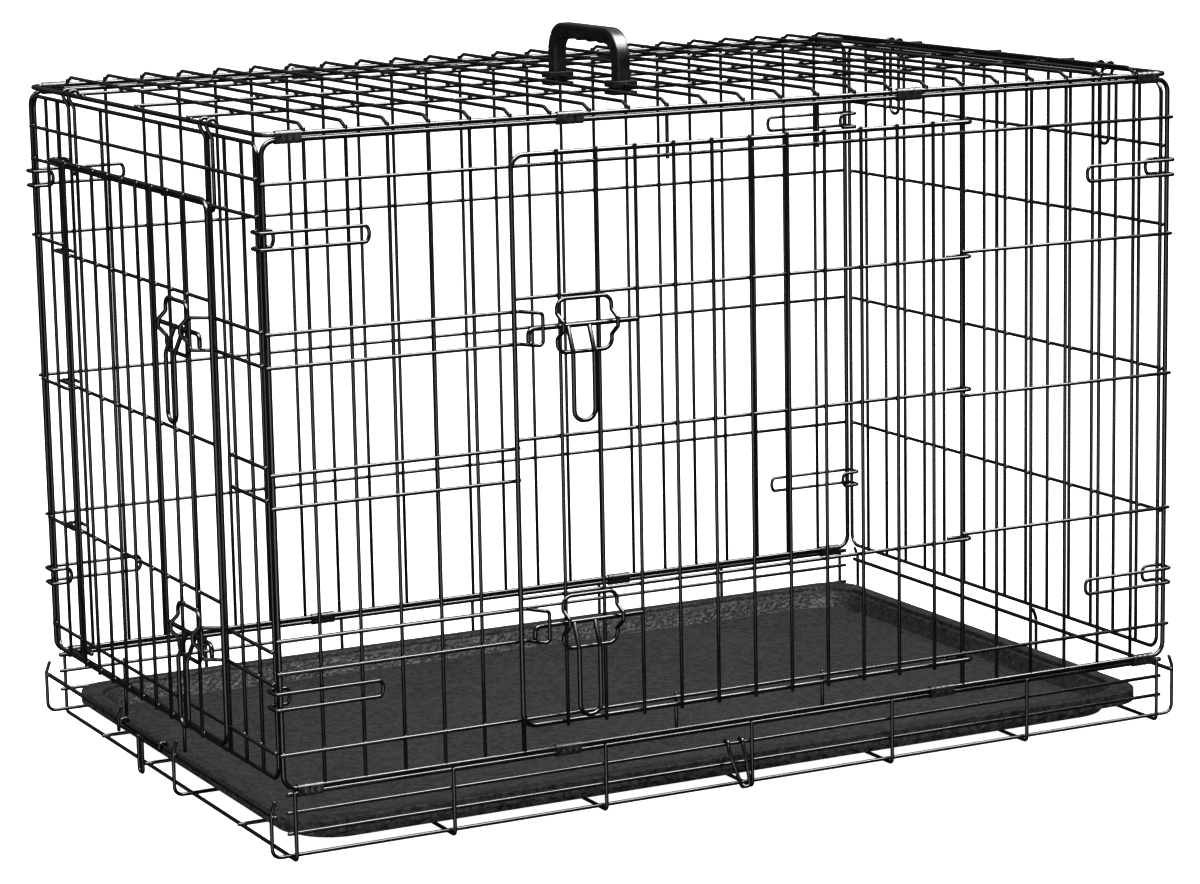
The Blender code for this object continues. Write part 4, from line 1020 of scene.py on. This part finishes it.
def base_frame():
    """Make the pan carrier: bent cross wires, floor wires, lips, end bars and their legs."""
    bm = bmesh.new()
    low = WIRE_R
    lip_w = HALF_DEPTH + WIRE_R * FLAT + WIRE_R - WELD_BITE
    lip_end = LIP_TOP + OVERHANG / 2
    floor_z = 2 * low + WIRE_R - 1.5 * WELD_BITE
    corner_y = HALF_DEPTH - CORNER_INSET
    corner_z = floor_z + CORNER_INSET
    floor_y = [step * FLOOR_BAR_SPACING for step in (-1.5, -0.5, 0.5, 1.5)]
    for index in range(BASE_CELLS + 1):
        x = (index - BASE_CELLS / 2) * BASE_CELL
        path = [(x, -lip_w, lip_end), (x, -lip_w, low), (x, lip_w, low), (x, lip_w, lip_end)]
        wire(bm, bent(path, LIP_BEND), WIRE_R, RIGHT)
        for y in floor_y:
            weld(bm, Vector((x, y, (low + floor_z) / 2)), UP)
        for y_sign in (-1, 1):
            for z in (LIP_TOP, *LIP_BARS_Z):
                weld(bm, Vector((x, y_sign * (HALF_DEPTH + lip_w) / 2, z)), BACK)
    for y in (floor_y[0], floor_y[2], floor_y[3]):
        straight(bm, (-FLOOR_BAR_END, y, floor_z), (FLOOR_BAR_END, y, floor_z), WIRE_R, UP)
    end = HALF_LENGTH - LIP_BAR_SETBACK
    for y_sign in (-1, 1):
        y = y_sign * HALF_DEPTH
        for z, radius in ((LIP_TOP, BORDER_R), (LIP_BARS_Z[0], WIRE_R), (LIP_BARS_Z[1], WIRE_R)):
            straight(bm, (-end, y, z), (end, y, z), radius, Vector((0, y_sign, 0)))
    legs = ((floor_y[1], floor_z), (-corner_y, corner_z), (corner_y, corner_z))
    for y, z in legs:
        wire(bm, leg_path(y, z), WIRE_R, BACK)
    reach = corner_y + OVERHANG
    for x, z in ((-END_BAR_X, LEFT_BAR_Z), (END_BAR_X, RIGHT_BAR_Z)):
        straight(bm, (x, -reach, z), (x, reach, z), END_BAR_R, RIGHT)
        for y, _ in legs:
            weld(bm, Vector((x + math.copysign(END_BAR_R, x), y, z)), RIGHT)
    wire(bm, tip_path(-1, LONE_HOOK_Y), WIRE_R, BACK)
    weld(bm, Vector((-END_BAR_X - END_BAR_R, LONE_HOOK_Y, LEFT_BAR_Z)), RIGHT)
    finished("base_frame_wires", bm, "wire", "cage", "base_frame")


def pan_stop():
    """Make the drop loop that keeps the pan in: a wire slung under the end bar, hooked over it."""
    bm = bmesh.new()
    bar = Vector((-END_BAR_X, 0, LEFT_BAR_Z))
    ring = END_BAR_R + CLEARANCE + WIRE_R
    back, front = STOP_ENDS_Y
    near, far = STOP_LOOP_Y

    def along(y):
        return Vector((0, y, 0))

    def hook(y):
        centre = bar + along(y)
        return arc(centre, RIGHT, UP, ring, 0, STOP_HOOK_TURN, HOOK_ARC_STEPS)

    under = bar - UP * ring
    low = Vector((bar.x, 0, STOP_LOOP_BOTTOM))
    path = hook(back) + bent([
        under + along(back - STOP_HOOK_STEP),
        under + along(near),
        low + along(near),
        low + along(far),
        under + along(far),
        under + along(front + STOP_HOOK_STEP),
    ], TIGHT_BEND) + hook(front)[::-1]
    wire(bm, path, WIRE_R, RIGHT)
    finished("pan_stop_wire", bm, "wire", "pan_stop", "pan_stop")


def front_clip():
    """Make the loose hook that hangs on the front lip of the base."""
    bm = bmesh.new()
    z = LIP_BARS_Z[0]
    ring = WIRE_R + CLEARANCE + WIRE_R

    def hook(x):
        centre = Vector((x, -HALF_DEPTH, z))
        return arc(centre, BACK, UP, ring, 0, CLIP_HOOK_TURN, HOOK_ARC_STEPS)

    left, right = CLIP_TOPS_X
    y = -HALF_DEPTH - ring
    out_y = y - CLIP_STAND_OFF
    path = hook(left) + [(left, y, z - CLIP_NECK)]
    path += bent([
        (left, out_y, z - CLIP_SHOULDER),
        (CLIP_FOOT_X[0], out_y, CLIP_FOOT_Z),
        (CLIP_FOOT_X[1], out_y, CLIP_FOOT_Z),
        (right, out_y, z - CLIP_SHOULDER),
    ], TIGHT_BEND)
    path += [(right, y, z - CLIP_NECK)] + hook(right)[::-1]
    wire(bm, path, WIRE_R, RIGHT)
    finished("front_clip_wire", bm, "wire", "front_clip", "front_clip")


# Pan and carry handle.


def rounded_outline(half_x, half_y, corner, z):
    """Give a rectangle with round corners."""
    points = []
    for quarter, (x_sign, y_sign) in enumerate(((1, 1), (-1, 1), (-1, -1), (1, -1))):
        centre = Vector((x_sign * (half_x - corner), y_sign * (half_y - corner), z))
        for k in range(WIDE_BEND_STEPS + 1):
            angle = math.pi / 2 * (quarter + k / WIDE_BEND_STEPS)
            points.append(centre + corner * Vector((math.cos(angle), math.sin(angle), 0)))
    return points


def softened(section, radius):
    """Round off the corners of a section given as inset and height."""
    path = bent([(inset, 0, z) for inset, z in section], radius, steps=SLIGHT_BEND_STEPS)
    return [(point.x, point.z) for point in path]


def floor_pan():
    """Make the moulded tray by turning its wall's section round the outline."""
    bm = bmesh.new()
    bottom = 2 * WIRE_R * FLAT + 2 * WIRE_R - WELD_BITE + CLEARANCE
    floor = bottom + PAN_WALL
    flange = PAN_FLANGE - PAN_WALL
    flat = PAN_WELL_INSET + 2 * PAN_FILLET
    section = softened([
        (flat, bottom),
        (PAN_WELL_INSET - PAN_WALL, bottom),
        (flange, PAN_LEDGE_Z - PAN_WALL),
        (flange, PAN_RIM_Z - PAN_SKIRT_WALL),
        (PAN_SKIRT_WALL, PAN_RIM_Z - PAN_SKIRT_WALL),
        (PAN_SKIRT_WALL, PAN_SKIRT_Z),
        (0.0, PAN_SKIRT_Z),
        (0.0, PAN_RIM_Z),
        (PAN_FLANGE, PAN_RIM_Z),
        (PAN_FLANGE + PAN_LEDGE_SLOPE, PAN_LEDGE_Z),
        (PAN_FLANGE + PAN_LEDGE, PAN_LEDGE_Z - PAN_LEDGE_SLOPE),
        (PAN_WELL_INSET, floor),
        (flat, floor),
    ], PAN_EDGE_ROUND)
    ring = flat + PAN_FLAT_RING
    outlines = []
    for inset, z in [(ring, bottom), *section, (ring, floor)]:
        share = min(1, inset / PAN_FLANGE)
        corner = PAN_CORNER + (PAN_WELL_CORNER - PAN_CORNER) * share
        corner -= max(0, inset - PAN_FLANGE) / 2
        outlines.append(rounded_outline(PAN_HALF_X - inset, PAN_HALF_Y - inset, corner, z))
    loft(bm, outlines)
    finished("floor_pan_moulding", bm, "pan", "floor_pan", "floor_pan")


def wave(turns):
    """Give a wave between 1, at whole turns, and 0, halfway between them."""
    return 0.5 + 0.5 * math.cos(2 * math.pi * turns)


def grip_path(x, foot):
    """Give the grip's centre line from its back foot to its front foot, in short steps."""
    back, front = HANDLE_FEET_Y
    top = HANDLE_TOP - HANDLE_THICK - GRIP_BELOW_TOP
    corners = [(x, back, foot), (x, back, top), (x, front, top), (x, front, foot)]
    path = bent(corners, HANDLE_CORNER, steps=WIDE_BEND_STEPS)
    points = []
    for start, end in zip(path, path[1:]):
        parts = max(1, round((end - start).length / GRIP_STEP_LENGTH))
        points += [start.lerp(end, k / parts) for k in range(parts)]
    return [*points, path[-1]]


def grip_outline(point, outward, thick_in, thick_out, fluted):
    """Give the grip's squarish section, with shallow flutes on its inner and outer sides."""
    outline = []
    for k in range(GRIP_SECTION_STEPS):
        angle = 2 * math.pi * (k + 0.5) / GRIP_SECTION_STEPS
        across, out = math.cos(angle), math.sin(angle)
        power = GRIP_SQUARENESS
        stretch = (abs(across) ** power + abs(out) ** power) ** (-1 / power)
        thick = thick_out if out > 0 else thick_in
        if fluted and abs(out) > abs(across):
            thick -= GRIP_FLUTE * (1 - wave(GRIP_FLUTES * across * stretch))
        step = Vector((GRIP_HALF_X * across, 0, 0)) + outward * thick * out
        outline.append(point + step * stretch)
    return outline


def handle_foot(bm, x, y, top):
    """Add a foot: a plate under the wires, a cap over them, and the neck that joins the two."""
    plate_top = runner_z() - WIRE_R - CLEARANCE
    neck_x, neck_y = FOOT_NECK_SHARES
    for low, high, share_x, share_y in (
        (plate_top - FOOT_PLATE, plate_top, 1, 1),
        (runner_z() + WIRE_R, top, 1, 1),
        (plate_top - FOOT_PLATE / 2, top - FOOT_CAP / 2, neck_x, neck_y),
    ):
        block = bmesh.ops.create_cube(bm, size=1)["verts"]
        size = (2 * FOOT_HALF_X * share_x, 2 * FOOT_HALF_Y * share_y, high - low)
        bmesh.ops.scale(bm, vec=size, verts=block)
        bmesh.ops.translate(bm, vec=(x, y, (low + high) / 2), verts=block)
        edges = list({edge for vert in block for edge in vert.link_edges})
        bmesh.ops.bevel(bm, geom=edges, offset=FOOT_EDGE, segments=2, profile=0.5,
                        affect="EDGES", material=-1)


def carry_handle():
    """Make the grip: finger swells under the arch, flutes on the legs and teeth on the back leg."""
    bm = bmesh.new()
    x = rod_u(HANDLE_ROD)
    back, front = HANDLE_FEET_Y
    foot_top = rib_z() + WIRE_R + CLEARANCE + FOOT_CAP
    foot = foot_top - FOOT_CAP / 2
    path = grip_path(x, foot)
    span = (back - front) - 2 * HANDLE_CORNER
    outlines = []
    for i, point in enumerate(path):
        run = (path[min(i + 1, len(path) - 1)] - path[max(i - 1, 0)]).normalized()
        along = (back - HANDLE_CORNER - point.y) / span
        height = point.z - foot
        on_leg = height < LEG_RISE
        thick_in = thick_out = HANDLE_THICK
        if 0 < along < 1:
            thick_in -= SCALLOP_DEPTH * wave(SCALLOPS * along)
        if on_leg and point.y > (back + front) / 2:
            thick_out -= LEG_TOOTH * wave(height / LEG_TOOTH_PITCH)
        outward = run.cross(RIGHT)
        outlines.append(grip_outline(point, outward, thick_in, thick_out, on_leg))
    loft(bm, outlines)
    for y in HANDLE_FEET_Y:
        handle_foot(bm, x, y, foot_top)
    finished("carry_handle_moulding", bm, "grip", "cage", "carry_handle")


# Studio.


def studio_floor():
    bm = bmesh.new()
    bmesh.ops.create_grid(bm, x_segments=2, y_segments=2, size=FLOOR_HALF)
    mesh = bpy.data.meshes.new("studio_floor")
    bm.to_mesh(mesh)
    bm.free()
    mesh.materials.append(floor_finish())
    floor = bpy.data.objects.new("studio_floor", mesh)
    bpy.context.collection.objects.link(floor)
    floor.visible_glossy = False
    floor.visible_shadow = False


def soft_light(name, place, target, width, height, power, gloss_only):
    data = bpy.data.lights.new(name, "AREA")
    data.shape = "RECTANGLE"
    data.size, data.size_y = width, height
    data.energy = power
    light = bpy.data.objects.new(name, data)
    light.location = place
    light.rotation_euler = (Vector(target) - Vector(place)).to_track_quat("-Z", "Y").to_euler()
    light.visible_camera = False
    light.visible_diffuse = not gloss_only
    bpy.context.collection.objects.link(light)


def studio_world():
    """Light the studio from above, with little to mirror near the horizon and nothing below."""
    world = bpy.data.worlds.new("studio_white")
    world.use_nodes = True
    tree = world.node_tree
    direction = made(tree, "ShaderNodeTexCoord", "Generated", {})
    height = made(tree, "ShaderNodeSeparateXYZ", "Z", {"Vector": direction})
    low = mapped(tree, height, WORLD_BELOW, WORLD_LOW, *WORLD_HORIZON)
    high = mapped(tree, height, 0, WORLD_HIGH - WORLD_LOW, *WORLD_CEILING)
    light = {"Color": (1, 1, 1, 1), "Strength": added(tree, low, high)}
    fill(tree, tree.nodes["Background"], light)
    bpy.context.scene.world = world


def studio_lights():
    studio_world()
    for name, lamp in LAMPS.items():
        soft_light(name, *lamp)
    bpy.context.scene.view_settings.view_transform = "Standard"
    bpy.context.scene.view_settings.gamma = VIEW_GAMMA


def studio_camera():
    """Stand the camera where the photograph was taken from, with its lens."""
    yaw, pitch, roll = CAMERA_TURN
    forward = Vector((
        -math.sin(yaw) * math.cos(pitch), math.cos(yaw) * math.cos(pitch), -math.sin(pitch)))
    right = Vector((math.cos(yaw), math.sin(yaw), 0))
    up = right.cross(forward)
    rolled_right = right * math.cos(roll) + up * math.sin(roll)
    rolled_up = up * math.cos(roll) - right * math.sin(roll)
    turn = Matrix((rolled_right, rolled_up, -forward)).transposed()
    data = bpy.data.cameras.new("studio_camera")
    data.sensor_width = CAMERA_SENSOR
    data.sensor_fit = "HORIZONTAL"
    data.lens = CAMERA_FOCAL_PIXELS / CAMERA_IMAGE_WIDTH * CAMERA_SENSOR
    camera = bpy.data.objects.new("studio_camera", data)
    camera.matrix_world = Matrix.Translation(CAMERA_PLACE) @ turn.to_4x4()
    bpy.context.collection.objects.link(camera)
    bpy.context.scene.camera = camera


studio_camera()
studio_lights()
studio_floor()
base_frame()
front_panel()
back_panel()
top_panel()
sleeves()
right_end()
left_end()
door("front_door", "front", HALF_DEPTH, rod_u(FRONT_JAMBS[1]), FRONT_DOOR_LEFT,
     FRONT_DOOR_Z, FRONT_DOOR_BARS_Z, [rod_u(i) for i in FRONT_DOOR_RODS], "front_door")
latches("front", "front", HALF_DEPTH, FRONT_KEEPER_END - BOLT_INSET, FRONT_BOLTS_Z)
door("left_door", "left", HALF_LENGTH, END_JAMB_U, LEFT_DOOR_LATCH_U,
     LEFT_DOOR_Z, LEFT_DOOR_BARS_Z, [end_u(i) for i in LEFT_DOOR_RODS], "left_door")
latches("left", "left", HALF_LENGTH, LEFT_KEEPER_END - BOLT_INSET, LEFT_BOLTS_Z)
for x_name, x_sign in (("left", -1), ("right", 1)):
    for y_name, y_sign in (("front", -1), ("back", 1)):
        for z_name, z in zip(("upper", "lower"), SNAP_Z):
            snap_loop(f"snap_{y_name}_{x_name}_{z_name}", x_sign, y_sign, z)
pan_stop()
front_clip()
floor_pan()
carry_handle()
